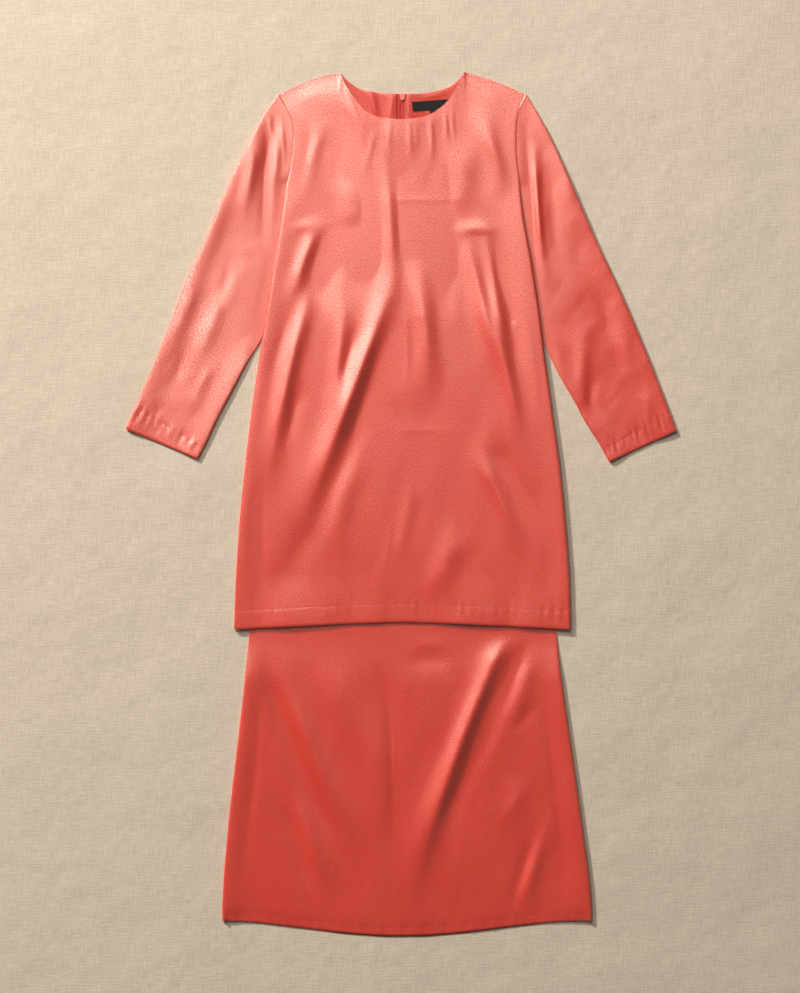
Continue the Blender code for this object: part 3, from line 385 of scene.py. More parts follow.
# %% [markdown]
# ## Making a sheet of cloth
# Every large piece is a grid: rows run down the cloth and columns run across it. `cloth_sheet` turns three
# arrays of places into a mesh, lays a UV map on it in metres along the cloth, and gives it a real wall with
# Solidify. The map runs up the cloth's grain, because satin's gloss spreads across its threads. A tube, such
# as a sleeve, closes its last column onto its first.

# %% Cloth maker
CLOTH_WALL = 0.45
SMOOTH_ANGLE = math.radians(50.0)


def deselect_all():
    """Leave nothing selected, so an operator acts only on what follows."""
    bpy.ops.object.select_all(action="DESELECT")


def select_only(piece):
    """Select one piece and make it active."""
    deselect_all()
    piece.select_set(True)
    bpy.context.view_layer.objects.active = piece


def cloth_sheet(name, x, y, z, material, wall=CLOTH_WALL, closed=False, length=None):
    """Make a cloth piece from arrays of places in millimetres, a row at a time.

    A flat piece is mapped straight down. A tube is mapped around its rings and along its length."""
    rows, columns = x.shape
    kept = columns - 1 if closed else columns
    places = np.stack([x[:, :kept], y[:, :kept], z[:, :kept]], axis=-1).reshape(-1, 3) * MM
    faces = []
    corner_uv = []
    across, up = x * MM, y * MM
    if closed:
        steps = np.sqrt(np.diff(x) ** 2 + np.diff(y) ** 2 + np.diff(z) ** 2)
        across = np.concatenate([np.zeros((rows, 1)), np.cumsum(steps, axis=1)], axis=1) * MM
        up = np.repeat(-length, columns, axis=1) * MM
    for row in range(rows - 1):
        for column in range(columns - 1):
            corners = ((row, column), (row + 1, column), (row + 1, column + 1), (row, column + 1))
            faces.append([r * kept + c % kept for r, c in corners])
            corner_uv.extend((across[r, c], up[r, c]) for r, c in corners)
    mesh = bpy.data.meshes.new(name)
    mesh.from_pydata(places.tolist(), [], faces)
    layer = mesh.uv_layers.new(name="cloth")
    layer.data.foreach_set("uv", np.array(corner_uv, dtype=np.float32).ravel())
    mesh.materials.append(material)
    piece = bpy.data.objects.new(name, mesh)
    bpy.context.scene.collection.objects.link(piece)
    mesh.shade_smooth()
    give_wall(piece, wall)
    print(name, len(mesh.polygons), "faces")
    return piece


def give_wall(piece, wall):
    """Give a sheet its thickness, half to each side, with a crisp edge."""
    select_only(piece)
    thickness = piece.modifiers.new("wall", "SOLIDIFY")
    thickness.thickness = wall * MM
    thickness.offset = 0.0
    bpy.ops.object.modifier_apply(modifier=thickness.name)
    bpy.ops.object.shade_smooth_by_angle(angle=SMOOTH_ANGLE)


# %% [markdown]
# ## The outlines
# These are the garment's own sizes, the same ones that its solids are built from: the tunic's sides, the
# neckline, the shoulders and the skirt.

# %% Tunic and skirt outlines
SHOULDER_Y = 643.0
UNDERARM_Y = 428.6
SIDE_SHOWS_Y = 257.5
CENTRE_BACK_X = 1.5
TUNIC_HEM_MIDDLE_Y = -183.4
TUNIC_HEM_DROP = 11.6
TUNIC_HALF_HEM = 264.0
WAIST_Y = 281.0
SKIRT_FREE_Y = -200.0
SKIRT_LOFT_Y = -280.0
SKIRT_FOLDS_Y = -246.0
SKIRT_HEM_MIDDLE_Y = -674.6
SKIRT_HEM_RISE = 23.5
SKIRT_HALF_HEM = 300.0
ROLL_WIDTH = 3.6

TUNIC_SECTIONS = table("y left right seam crest", (
    (643, -193, 195.2, 2.8, 3),
    (620, -179.6, 184.7, 3, 3.4),
    (600, -171.5, 181, 3.2, 3.7),
    (580, -169.1, 179.8, 3.3, 3.9),
    (560, -170.6, 180, 3.4, 4),
    (540, -172.7, 181.2, 3.5, 4.1),
    (520, -175.8, 183.4, 3.6, 4.2),
    (500, -180.4, 185.4, 3.7, 4.6),
    (476, -183.9, 188.1, 3.7, 5.8),
    (452, -187.5, 191.2, 3.7, 6.8),
    (380, -199.4, 204.2, 3.7, 8),
    (290, -213.8, 217.4, 3.8, 8.2),
    (250, -219.9, 222.1, 4.6, 8.4),
    (140, -235.8, 237.3, 4.8, 8.6),
    (60, -245.3, 248.5, 4.8, 8.6),
    (-30, -254.4, 257.2, 4.8, 8.6),
    (-110, -259.6, 263.2, 4.8, 8.4),
    (-195, -263, 264.9, 4.8, 8),
))

NECK_SECTIONS = table("x front back", (
    (-95.8, 677.9, 677.9),
    (-89.6, 662.5, 671),
    (-79.9, 645.9, 662),
    (-67.2, 628, 653.9),
    (-55.1, 615.9, 650.3),
    (-38, 607.8, 647),
    (-18, 605.2, 645),
    (1.5, 603.9, 644.4),
    (20, 605.5, 644.6),
    (37, 609, 646.2),
    (54.5, 618.1, 649.3),
    (73.9, 635.4, 655.8),
    (89, 661, 667),
    (98.7, 679, 679),
))

SHOULDER_SECTIONS = table("out left_x left_y right_x right_y", (
    (0, -95.8, 677.9, 98.7, 679),
    (0.4, -133.9, 669.3, 136.1, 667.9),
    (0.75, -168.8, 654.8, 171, 654.8),
    (1, -193, 643, 195.2, 643),
))

HIDDEN_SIDES = table("y left right", (
    (500, -180.4, 185.4),
    (476, -175.6, 179.6),
    (452, -166.4, 169.8),
    (428.6, -154.6, 157.8),
    (257.5, -218.8, 221),
))

SKIRT_SECTIONS = table("y left right", (
    (281, -175, 178),
    (180, -200, 203),
    (81, -217, 220),
    (-60, -229, 232),
    (-198, -238.2, 242.3),
    (-260, -243.8, 249),
    (-390, -258.7, 267.3),
    (-500, -271.2, 282.6),
    (-600, -278.9, 294.4),
    (-652, -281.2, 297.8),
))

front_left = track(TUNIC_SECTIONS, "y", "left")
front_right = track(TUNIC_SECTIONS, "y", "right")
front_seam = track(TUNIC_SECTIONS, "y", "seam")
front_crest = track(TUNIC_SECTIONS, "y", "crest")
neck_front = track(NECK_SECTIONS, "x", "front")
skirt_left = track(SKIRT_SECTIONS, "y", "left")
skirt_right = track(SKIRT_SECTIONS, "y", "right")

# %% Layer heights
FLOOR_LAYER = 0.5
LAYER = 1.3
BASE_OVER_BACK = 3.3
BACK_STEP = 10.0
FRONT_STEP = 110.0
PULL_LIFT = 2.2
SIDE_SPREAD = 28.0
EDGE_SPREAD = 30.0
NECK_RISE = 2.9
SLEEVE_REST = FLOOR_LAYER + LAYER
LOWEST_OVER_SLEEVE = 2.9


def tunic_hem(x):
    """How far down the tunic's hem lies at each place across."""
    return TUNIC_HEM_MIDDLE_Y - TUNIC_HEM_DROP * np.abs(x / TUNIC_HALF_HEM) ** 1.3


def skirt_hem(x):
    """How far down the skirt's front hem lies at each place across."""
    return SKIRT_HEM_MIDDLE_Y + SKIRT_HEM_RISE * (1.0 - np.cos(math.pi * x / SKIRT_HALF_HEM)) / 2


def over_skirt(x, y, spread):
    """1 where the tunic lies over the skirt, falling to 0 over a width outside it."""
    outside = np.maximum(np.maximum(skirt_left(y) - x, x - skirt_right(y)), y - WAIST_Y)
    return np.clip((2.0 + spread - outside) / spread, 0.0, 1.0)


def pull_lift(x, y):
    """How far the back neck is held up by the zip's pull under it."""
    across = np.clip((72.0 - np.abs(x - CENTRE_BACK_X)) / 56.0, 0.0, 1.0)
    return PULL_LIFT * across * np.clip((y - 560.0) / 40.0, 0.0, 1.0)


def back_height(x, y):
    """Height of the middle of the tunic back's wall."""
    return FLOOR_LAYER + 2.0 * LAYER * over_skirt(x, y, BACK_STEP) + pull_lift(x, y)


# %% [markdown]
# ## The tunic's front
# The front is one piece of satin from the neck to the hem. Its rows follow the neckline and the armholes
# and then run level, so the neck edge is a clean curve. The folds are the photo's own: long drags from the
# bust towards the left hem, one from the right bust down to a point above the hip, and soft troughs beside
# them. The sides roll over to meet the back, and the turned hem puckers at its stitch line.

# %% Tunic folds
TUNIC_FOLDS = table(FOLD, (
    (10.5, 17, 0.35, 0.3, 14, 440, -74, 184, -206, -150),
    (-2.4, 15, 0, 0.2, -26, 272, -80, 90, -196, -150),
    (5, 13, 0.2, 0.2, -46, 590, -17, 440, -22, 226),
    (-4.4, 18, 0, 0.1, -76, 476, -120, 374, -148, 262),
    (7.4, 13, 0.2, 0.3, -118, 420, -176, 206, -232, -90),
    (5, 12, 0, 0.2, -86, 410, -97, 226, -112, 78),
    (6.4, 14, 0.2, 0.3, -114, 474, -154, 380, -182, 276),
    (-3, 10, 0, 0.2, -160, 346, -196, 240, -228, 120),
    (-2.6, 9, 0, 0.2, -60, 310, -84, 232, -106, 150),
    (-2.4, 8, 0, 0.2, -156, 206, -170, 140, -184, 68),
    (5.8, 14, 0, 0.2, 10, 462, 38, 278, 46, 128),
    (5, 12, 0.2, 0.3, 74, 500, 126, 322, 158, 140),
    (4.4, 10, 0.2, 0.3, 118, 500, 148, 330, 178, 160),
    (6, 14, 0.25, 0.3, 114, 376, 164, 214, 204, -4),
    (-3.4, 11, 0, 0.2, 140, 440, 172, 306, 198, 170),
    (3.4, 8, 0, 0.3, 190, 360, 211, 210, 227, 90),
    (-2, 5, 0, 0.3, 214, 272, 220, 190, 230, 110),
    (-3.6, 12, 0, 0.2, 122, 102, 172, 44, 220, -86),
    (3.4, 11, 0, 0.2, 102, 112, 150, 20, 198, -104),
    (6, 13, 0.1, 0.3, 112, 656, 150, 545, 180, 458),
    (3.4, 18, 0, 0, 88, 600, 97, 510, 101, 420),
    (2, 9, 0, 0.1, 64, 412, 118, 434, 174, 410),
    (1.7, 8, 0, 0.1, -190, 414, -155, 437, -112, 422),
    (3.4, 11, 0, 0.2, -118, 630, -138, 552, -150, 460),
    (-2.2, 8, 0, 0.2, -136, 610, -154, 548, -172, 480),
    (2.4, 20, 0, 0, -92, 540, -76, 470, -72, 390),
    (2, 18, 0, 0, 26, 575, 34, 500, 30, 420),
    (3.4, 18, 0, 0, -58, 130, -95, 0, -100, -130),
    (3.4, 18, 0, 0, 98, -10, 70, -90, 60, -172),
    (-2.2, 14, 0, 0, -138, -10, -164, -80, -178, -158),
    (-6, 11, 0, 0.1, -218, 110, -228, -50, -214, -200),
    (-5, 11, 0, 0.1, 214, 60, 236, -60, 240, -180),
    (2, 12, 0, 0, 26, 84, 6, -30, 2, -130),
    (2.2, 10, 0, 0.2, -235, 200, -242, 150, -248, 98),
    (2.2, 9, 0, 0.2, -239, 104, -246, 62, -252, 16),
))
NECK_PUCKERS = table(FOLD, (
    (1, 3.4, 0, 0.2, -18, 612, -19, 580, -22, 524),
    (1.3, 3.2, 0, 0.2, 12, 612, 13, 576, 15, 520),
    (0.8, 2.8, 0, 0.2, 22, 612, 23, 584, 23, 548),
    (1.5, 3.8, 0, 0.2, 46, 622, 47, 580, 50, 520),
    (0.9, 3.2, 0, 0.2, 68, 634, 70, 594, 74, 540),
    (0.7, 3, 0, 0.2, 78, 642, 80, 600, 86, 556),
    (0.8, 4.4, 0, 0.2, -40, 612, -48, 560, -66, 500),
))
PACKING_CREASES = table(FOLD, (
    (0.4, 4, 0, 0.6, -52, 480, 38, 478, 134, 482),
    (0.25, 4, 0, 0.6, -44, 298, 30, 297, 112, 299),
    (0.35, 4, 0, 0.6, -50, 116, 32, 117, 116, 115),
    (0.7, 4, 0, 0.8, 3, 420, 9, 250, 0, 84),
    (0.8, 4, 0, 0.8, -9, 40, -22, -66, -44, -168),
))

HEM_LIFTS = table("x lift", (
    (-265, 0), (-230, 0.6), (-180, 3.2), (-110, 1.4),
    (-40, 0.4), (-5, -1), (60, 0.8), (138, 2.6),
    (170, 0.2), (200, 2.6), (240, 0.6), (265, 0),
))
hem_lift = track(HEM_LIFTS, "x", "lift")

NECK_LIFTS = table("x lift", (
    (-190, 0), (-150, 1.1), (-120, 2.6), (-100, 3.6),
    (-82, 4.8), (-66, 4.5), (-50, 3), (-30, 1.2),
    (-8, 0.6), (20, 0.2), (55, 0), (80, 0.4),
    (98.7, 0), (120, 0),
))
NECK_LIFT_REACH = 62.0
NECK_CORNER = 26.0
NECK_LIP = 0.5
ZIP_ROOM = 1.3
ZIP_ROOM_WIDTH = 62.0
FACING_ROOM = 1.6
FACING_ROOM_WIDTH = 105.0
OVER_BACK_GAP = 1.2
HEM_LIFT_REACH = 85.0
neck_lift = track(NECK_LIFTS, "x", "lift")

# %% Tunic front grid
SHEET_STEP = 3.8
ROLL_ANGLES = (0.0, 22.0, 45.0, 68.0, 90.0)
HEM_STITCH = 29.0
HEM_TURN = 1.6
SIDE_SEAM_INSET = 4.5


def roll_places():
    """Insets and rises of the columns that roll a side over, from its edge inwards."""
    angles = np.radians(ROLL_ANGLES)
    return (1.0 - np.cos(angles)) * ROLL_WIDTH, np.sin(angles)


def column_places(insets, inner):
    """Each column's share of the way across, and its shift where a side rolls over."""
    sides = len(insets)
    share = np.concatenate([np.zeros(sides), np.arange(1, inner + 1) / (inner + 1), np.ones(sides)])
    shift = np.concatenate([insets - ROLL_WIDTH, np.zeros(inner), ROLL_WIDTH - insets[::-1]])
    return share, shift


def roll_sides(level, seam, crest):
    """Set the heights of the columns that roll over at both sides."""
    _, rises = roll_places()
    count = level.shape[1]
    for i, rise in enumerate(rises):
        for column in (i, count - 1 - i):
            level[:, column] = mix(seam[:, column], crest[:, column], rise)


def neck_edge(count):
    """Evenly spaced places along the front neckline."""
    x = np.linspace(NECK_SECTIONS[0].x, NECK_SECTIONS[-1].x, 400)
    y = neck_front(x)
    length = np.concatenate([[0.0], np.cumsum(np.hypot(np.diff(x), np.diff(y)))])
    even = np.linspace(0.0, length[-1], count)
    return np.interp(even, length, x), np.interp(even, length, y)


def front_grid():
    """Places of the tunic front's grid, and how far each is below the top edge."""
    insets, _ = roll_places()
    shoulder_count, neck_count = 30, 84
    outs = np.concatenate([np.linspace(1.0, 0.96, len(insets)), np.linspace(0.93, 0.03, shoulder_count)])
    parts = {side: (track(SHOULDER_SECTIONS, "out", side + "_x")(outs),
                    track(SHOULDER_SECTIONS, "out", side + "_y")(outs)) for side in ("left", "right")}
    neck_x, neck_y = neck_edge(neck_count)
    top_x = np.concatenate([parts["left"][0], neck_x, parts["right"][0][::-1]])
    top_y = np.concatenate([parts["left"][1], neck_y, parts["right"][1][::-1]])
    is_neck = np.zeros(len(top_x), dtype=bool)
    is_neck[len(outs):len(outs) + neck_count] = True
    count = len(top_x)
    inner = count - 2 * len(insets)
    share, shift = column_places(insets, inner)

    def line_x(y):
        return mix(front_left(y) + ROLL_WIDTH, front_right(y) - ROLL_WIDTH, share) + shift

    rows_x, rows_y, drops = [], [], []
    edge_steps = np.array([0.3, 1.0, 2.0]) / (SHOULDER_Y - UNDERARM_Y)
    for step in np.sort(np.concatenate([np.linspace(0.0, 1.0, 56), edge_steps])):
        y = mix(top_y, UNDERARM_Y, step)
        across = (top_x - front_left(top_y)) / (front_right(top_y) - front_left(top_y))
        follow = mix(front_left(y), front_right(y), across)
        rows_x.append(mix(follow, line_x(y), ease(step)))
        rows_y.append(y)
        drops.append(top_y - y)
    marks = np.linspace(UNDERARM_Y, TUNIC_HEM_MIDDLE_Y, 162)[1:]
    stitch = TUNIC_HEM_MIDDLE_Y + HEM_STITCH
    marks = np.concatenate([marks, stitch + np.array([-2.0, -1.0, 0.0, 1.0, 2.0]),
                            TUNIC_HEM_MIDDLE_Y + np.array([0.5, 1.2])])
    for mark in sorted(set(np.round(marks, 2)), reverse=True):
        x = line_x(np.full(count, mark))
        fall = (UNDERARM_Y - mark) / (UNDERARM_Y - TUNIC_HEM_MIDDLE_Y)
        y = mark + (tunic_hem(x) - TUNIC_HEM_MIDDLE_Y) * fall ** 4
        rows_x.append(x)
        rows_y.append(y)
        drops.append(np.full(count, UNDERARM_Y))
    return np.array(rows_x), np.array(rows_y), np.array(drops), is_neck


def hem_band(above, x, stitch, seed):
    """The relief of a turned hem: a groove at its stitches, small puckers and a rounded lower edge."""
    pucker = ripple(x, np.zeros_like(x), seed, 17.0, 6.0)
    groove = -0.13 * np.exp(-((above - stitch) / 1.3) ** 2)
    tufts = 0.85 * pucker * np.exp(-((above - stitch + 4.0) / 10.0) ** 2)
    turn = -0.6 * (1.0 - ease(above / HEM_TURN)) + 0.12 * (1.0 - ease((above - stitch + 3.0) / 6.0))
    return groove + tufts + turn


def front_surface(x, y, drop, is_neck):
    """Height of the tunic's front over its grid."""
    beside_zip = np.abs(x - CENTRE_BACK_X)
    zip_room = ZIP_ROOM * ease(1.0 - beside_zip / ZIP_ROOM_WIDTH) * ease((y - 130.0) / 60.0)
    facing_room = FACING_ROOM * np.clip(1.0 - (beside_zip / FACING_ROOM_WIDTH) ** 2, 0.0, 1.0)
    facing_room = facing_room * ease((y - 490.0) / 95.0)
    lifted = PULL_LIFT * ease((90.0 - beside_zip) / 75.0) * ease((y - 480.0) / 120.0)
    base = BASE_OVER_BACK + 2.0 * LAYER * ease(over_skirt(x, y, FRONT_STEP)) + lifted
    body = base + zip_room + facing_room + fold_height(TUNIC_FOLDS, x, y)
    body += 0.55 * ripple(x, y, 3, 150.0, 60.0, spread=0.7) + 0.13 * ripple(x, y, 4, 40.0, 18.0, 14, 0.5)
    above = y - tunic_hem(x)
    body += hem_lift(x) * (1.0 - ease(above / HEM_LIFT_REACH))
    over_sleeve = np.where(y > SIDE_SHOWS_Y - 10.0, LOWEST_OVER_SLEEVE, 0.0)
    low = np.maximum(back_height(x, y) + OVER_BACK_GAP, over_sleeve)
    body = soft_floor(body, low)
    seam, crest = front_seam(y), front_crest(y)
    to_side = np.minimum(x - front_left(y), front_right(y) - x)
    level = body + (crest - body) * np.exp(-(np.maximum(to_side - ROLL_WIDTH, 0.0) / SIDE_SPREAD) ** 2)
    roll_sides(level, seam, crest)
    middle = np.clip(1.0 - ((x - CENTRE_BACK_X) / 110.0) ** 2, 0.0, 1.0)
    neck_start = FLOOR_LAYER + 2.0 * LAYER + pull_lift(x, y) + NECK_RISE * middle
    start = np.where(is_neck[None, :], np.maximum(neck_start, level - NECK_LIP), SLEEVE_REST + 0.1)
    start[:, 0], start[:, -1] = seam[:, 0], seam[:, -1]
    level = np.where(is_neck[None, :], np.maximum(level, start), level)
    level = mix(start, level, ease(drop / EDGE_SPREAD))
    at_edge = is_neck * ease((x[0] - NECK_SECTIONS[0].x) / NECK_CORNER)
    raised = neck_lift(x) * mix(at_edge[None, :], 1.0, ease(drop / 55.0))
    raised = raised * np.exp(-(drop / NECK_LIFT_REACH) ** 2)
    level += raised + fold_height(NECK_PUCKERS + PACKING_CREASES, x, y)
    left_seam = -0.5 * np.exp(-((x - front_left(y) - SIDE_SEAM_INSET) / 0.9) ** 2) * ease((262.0 - y) / 20.0)
    return level + left_seam + hem_band(above, x, HEM_STITCH, 11) * (above < 60.0)


front_x, front_y, front_drop, front_is_neck = front_grid()
front_z = front_surface(front_x, front_y, front_drop, front_is_neck)
tunic_front = cloth_sheet("satin_tunic_front", front_x, front_y, front_z, satin)

# %% [markdown]
# ## The skirt's front
# The skirt is cut in a long A. Its top lies flat and hidden under the tunic, and from the tunic's hem down
# it lifts a few millimetres and rolls over at the sides. One strong ridge runs from the right of the
# tunic's hem towards the middle of the skirt's hem, with a deep flank on its right.

# %% Skirt folds and grid
SKIRT_FOLDS = table(FOLD, (
    (9.6, 16, 0.35, 0.3, 272, 10, 96, -365, -10, -720),
    (-2.6, 14, 0, 0.2, 248, -130, 120, -392, 4, -668),
    (-6, 9, 0, 0.2, -240, -150, -168, -392, -70, -570),
    (4.8, 14, 0, 0.2, -214, -150, -140, -385, -50, -570),
    (-4.4, 9, 0, 0.2, -202, -420, -162, -540, -124, -640),
    (3.8, 12, 0, 0.2, -180, -420, -140, -530, -104, -628),
    (2.6, 16, 0, 0.2, 226, -150, 190, -284, 154, -400),
    (-3.2, 10, 0, 0.2, 206, -180, 172, -270, 140, -340),
    (-2, 10, 0, 0.2, 208, -298, 192, -334, 174, -372),
    (3.8, 12, 0, 0.2, 244, -440, 206, -568, 182, -662),
    (-3.4, 9, 0, 0.2, 230, -460, 190, -576, 166, -662),
    (2, 12, 0, 0, 190, -420, 178, -466, 160, -520),
    (-5, 8, 0, 0.2, -222, -190, -236, -420, -262, -660),
    (-5, 8, 0, 0.2, 222, -240, 246, -440, 274, -660),
    (2.6, 13, 0, 0.2, 0, -208, 50, -209, 112, -204),
    (-1.6, 15, 0, 0.2, -14, -234, 42, -240, 96, -236),
    (2, 20, 0, 0, -44, -250, -36, -430, -26, -640),
    (1.6, 20, 0, 0, -120, -230, -96, -330, -70, -430),
))
SKIRT_CREASES = table(FOLD, (
    (-2.6, 9, 0, 0.2, -36, -110, -12, -420, -6, -730),
    (1.6, 4, 0, 0.8, -33, -120, -10, -420, -13, -720),
))
SKIRT_CROWN = 1.8
SKIRT_SEAM = 4.2
SKIRT_CREST = 7.6
SKIRT_STITCH = 12.0


def skirt_grid(step):
    """Places of the skirt's grid from the hidden waist to the hem."""
    insets, _ = roll_places()
    inner = 150
    share, shift = column_places(insets, inner)
    hidden = np.linspace(WAIST_Y, SKIRT_FREE_Y + 2.0, 26)
    shown = np.arange(SKIRT_FREE_Y + 2.0 - step, SKIRT_HEM_MIDDLE_Y + SKIRT_STITCH + 3.0, -step)
    at_stitch = SKIRT_STITCH + np.array([2.0, 1.0, 0.0, -1.0, -2.0])
    band = SKIRT_HEM_MIDDLE_Y + np.concatenate([at_stitch, [8.0, 6.0, 4.0, 2.0, 1.0, 0.0]])
    rows_x, rows_y = [], []
    for mark in np.concatenate([hidden, shown, band]):
        left, right = skirt_left(mark), skirt_right(mark)
        x = mix(left + ROLL_WIDTH, right - ROLL_WIDTH, share) + shift
        fall = np.clip((-480.0 - mark) / (-480.0 - SKIRT_HEM_MIDDLE_Y), 0.0, 1.0)
        rows_x.append(x)
        rows_y.append(mark + (skirt_hem(x) - SKIRT_HEM_MIDDLE_Y) * fall ** 1.5)
    return np.array(rows_x), np.array(rows_y)


def skirt_surface(x, y):
    """Height of the skirt's front over its grid."""
    loft = ease((SKIRT_FREE_Y - y) / (SKIRT_FREE_Y - SKIRT_LOFT_Y))
    seam, crest = mix(SLEEVE_REST, SKIRT_SEAM, loft), mix(SLEEVE_REST, SKIRT_CREST, loft)
    to_side = np.minimum(x - skirt_left(y), skirt_right(y) - x)
    body = SKIRT_CROWN + 0.7 * ripple(x, y, 5, 150.0, 60.0, spread=0.7)
    body += 0.13 * ripple(x, y, 6, 40.0, 18.0, 14, 0.5)
    folds = fold_height(SKIRT_FOLDS, x, y) + fold_height(SKIRT_CREASES, x, y)
    shown = ease((SKIRT_FREE_Y - y) / (SKIRT_FREE_Y - SKIRT_FOLDS_Y))
    body = soft_floor(SLEEVE_REST + loft * body + shown * folds, SLEEVE_REST - 0.25, 0.5)
    level = mix(body, crest, np.exp(-(np.maximum(to_side - ROLL_WIDTH, 0.0) / SIDE_SPREAD) ** 2))
    roll_sides(level, seam, crest)
    above = y - skirt_hem(x)
    near_hem = ease(above / 25.0)
    inner = np.ones(x.shape[1])
    inner[:len(ROLL_ANGLES)] = 0.0
    inner[-len(ROLL_ANGLES):] = 0.0
    level = np.where(inner > 0, mix(SLEEVE_REST + 0.4, level, mix(0.55, 1.0, near_hem)), level)
    return level + hem_band(above, x, SKIRT_STITCH, 17) * (above < 40.0)


skirt_x, skirt_y = skirt_grid(SHEET_STEP)
skirt_z = skirt_surface(skirt_x, skirt_y)
skirt_front = cloth_sheet("satin_skirt_front", skirt_x, skirt_y, skirt_z, satin)

# %% [markdown]
# ## The sleeves
# A set-in sleeve lies as a flattened tube: one layer on the floor, one on top, folded at its outer and
# inner edges. Its first ring follows the armhole, and the rings straighten on the way to the cuff. Near the
# tunic's side the sleeve lies low, because the front laps over it there.

# %% Sleeve sections
SLEEVE_COLUMNS = "outer_x outer_y inner_x inner_y bulge outer_top inner_top"
LEFT_SLEEVE = table(SLEEVE_COLUMNS, (
    (-193, 643, -154.6, 428.6, 1, 2.8, 1.8),
    (-212.3, 616.9, -164.1, 403.3, 0.7, 4.4, 1.8),
    (-233.1, 579.3, -173.5, 378.2, 0.45, 5.6, 1.8),
    (-253.1, 539.9, -184.5, 348.9, 0.25, 6.4, 1.8),
    (-271.6, 500.8, -197, 315.6, 0.1, 6.6, 1.8),
    (-288.4, 461.6, -209.6, 282, 0, 6.6, 1.8),
    (-307.4, 416.1, -220.2, 257.5, 0, 6.6, 2),
    (-332.7, 360.8, -241.3, 223.7, 0, 6.4, 4.2),
    (-361.6, 286.2, -265.3, 178.2, 0, 6.2, 5.2),
    (-385.6, 226.1, -289.5, 132.5, 0, 6, 5.4),
    (-406, 178.2, -303.8, 101.3, 0, 6, 5.4),
    (-432.4, 119.3, -318.7, 72.2, 0, 6, 5.4),
))
RIGHT_SLEEVE = table(SLEEVE_COLUMNS, (
    (195.2, 643, 157.8, 428.6, 1, 2.8, 1.8),
    (215.7, 609.9, 167.2, 403.2, 0.7, 4.4, 1.8),
    (236.3, 570.7, 176.6, 378.1, 0.45, 5.6, 1.8),
    (255.4, 528.5, 187.2, 349.8, 0.25, 6.4, 1.8),
    (274, 485.9, 198.6, 319.4, 0.1, 6.6, 1.8),
    (292.8, 442.7, 211.2, 285.6, 0, 6.6, 1.8),
    (311.6, 400.4, 222.6, 254.5, 0, 6.6, 2),
    (339.9, 341.5, 244, 208.8, 0, 6.4, 4.2),
    (369.7, 272.4, 268, 166.7, 0, 6.2, 5.2),
    (391.7, 219, 289, 127.6, 0, 6, 5.4),
    (412.1, 166.7, 306.9, 99.7, 0, 6, 5.4),
    (431.1, 116.3, 325, 67.5, 0, 6, 5.4),
))

LEFT_SLEEVE_FOLDS = table(FOLD, (
    (5.6, 11, 0, 0.2, -222, 610, -236, 516, -256, 410),
    (-3.2, 6.5, 0, 0.2, -196, 640, -212, 510, -212, 326),
    (3.2, 8, 0, 0.2, -194, 612, -196, 540, -202, 460),
    (1.8, 3.6, 0, 0.4, -194, 634, -185, 572, -181, 496),
    (1.4, 3.2, 0, 0.3, -200, 626, -206, 594, -193, 562),
    (2.6, 12, 0, 0.1, -256, 395, -296, 285, -346, 160),
    (-1.4, 10, 0, 0, -250, 420, -276, 350, -300, 262),
    (2, 11, 0, 0.1, -300, 395, -340, 300, -385, 185),
    (-1.4, 8, 0, 0.1, -330, 270, -348, 214, -372, 150),
    (1.6, 8, 0, 0.1, -290, 240, -312, 190, -340, 118),
    (-1, 5, 0, 0.1, -376, 168, -386, 140, -394, 112),
))
RIGHT_SLEEVE_FOLDS = table(FOLD, (
    (4.8, 6, 0, 0.3, 203, 640, 214, 460, 226, 290),
    (-4, 7, 0, 0.2, 190, 630, 200, 470, 214, 320),
    (-2, 9, 0, 0.1, 224, 560, 238, 450, 248, 350),
    (2.8, 13, 0, 0.1, 244, 570, 264, 470, 294, 380),
    (2.8, 12, 0, 0.1, 286, 322, 284, 220, 290, 130),
    (-2, 8, 0, 0.1, 300, 220, 296, 170, 306, 118),
    (2, 12, 0, 0.1, 326, 336, 350, 250, 384, 160),
    (-1.4, 10, 0, 0.1, 300, 370, 320, 300, 340, 230),
    (1.4, 7, 0, 0.1, 372, 196, 386, 156, 398, 112),
))

# %% Sleeve grid
ARMHOLE_GAP = 0.5
SLEEVE_RISE = 22.0
SLEEVE_CROWN = 1.2
CUFF_STITCH = 29.0
SLEEVE_RINGS = 150
SLEEVE_LENGTH = 560.0
TOP_POINTS = 62
UNDER_POINTS = 16
BEND_POINTS = 7


def hidden_edge(side):
    """Return the tunic back's side line: armhole, hidden underarm, then the side that shows."""
    shown = front_left if side == "left" else front_right
    ys = np.array([row.y for row in HIDDEN_SIDES])[::-1]
    xs = np.array([getattr(row, side) for row in HIDDEN_SIDES])[::-1]
    return lambda y: np.where((y < ys[-1]) & (y > ys[0]), np.interp(y, ys, xs), shown(y))


def sleeve_columns(sections):
    """Return a smooth curve for each column of a sleeve's table, read from 0 at the armhole to 1."""
    Step = namedtuple("Step", ("t",) + sections[0]._fields)
    steps = [Step(i / (len(sections) - 1), *section) for i, section in enumerate(sections)]
    return {name: track(steps, "t", name) for name in sections[0]._fields}


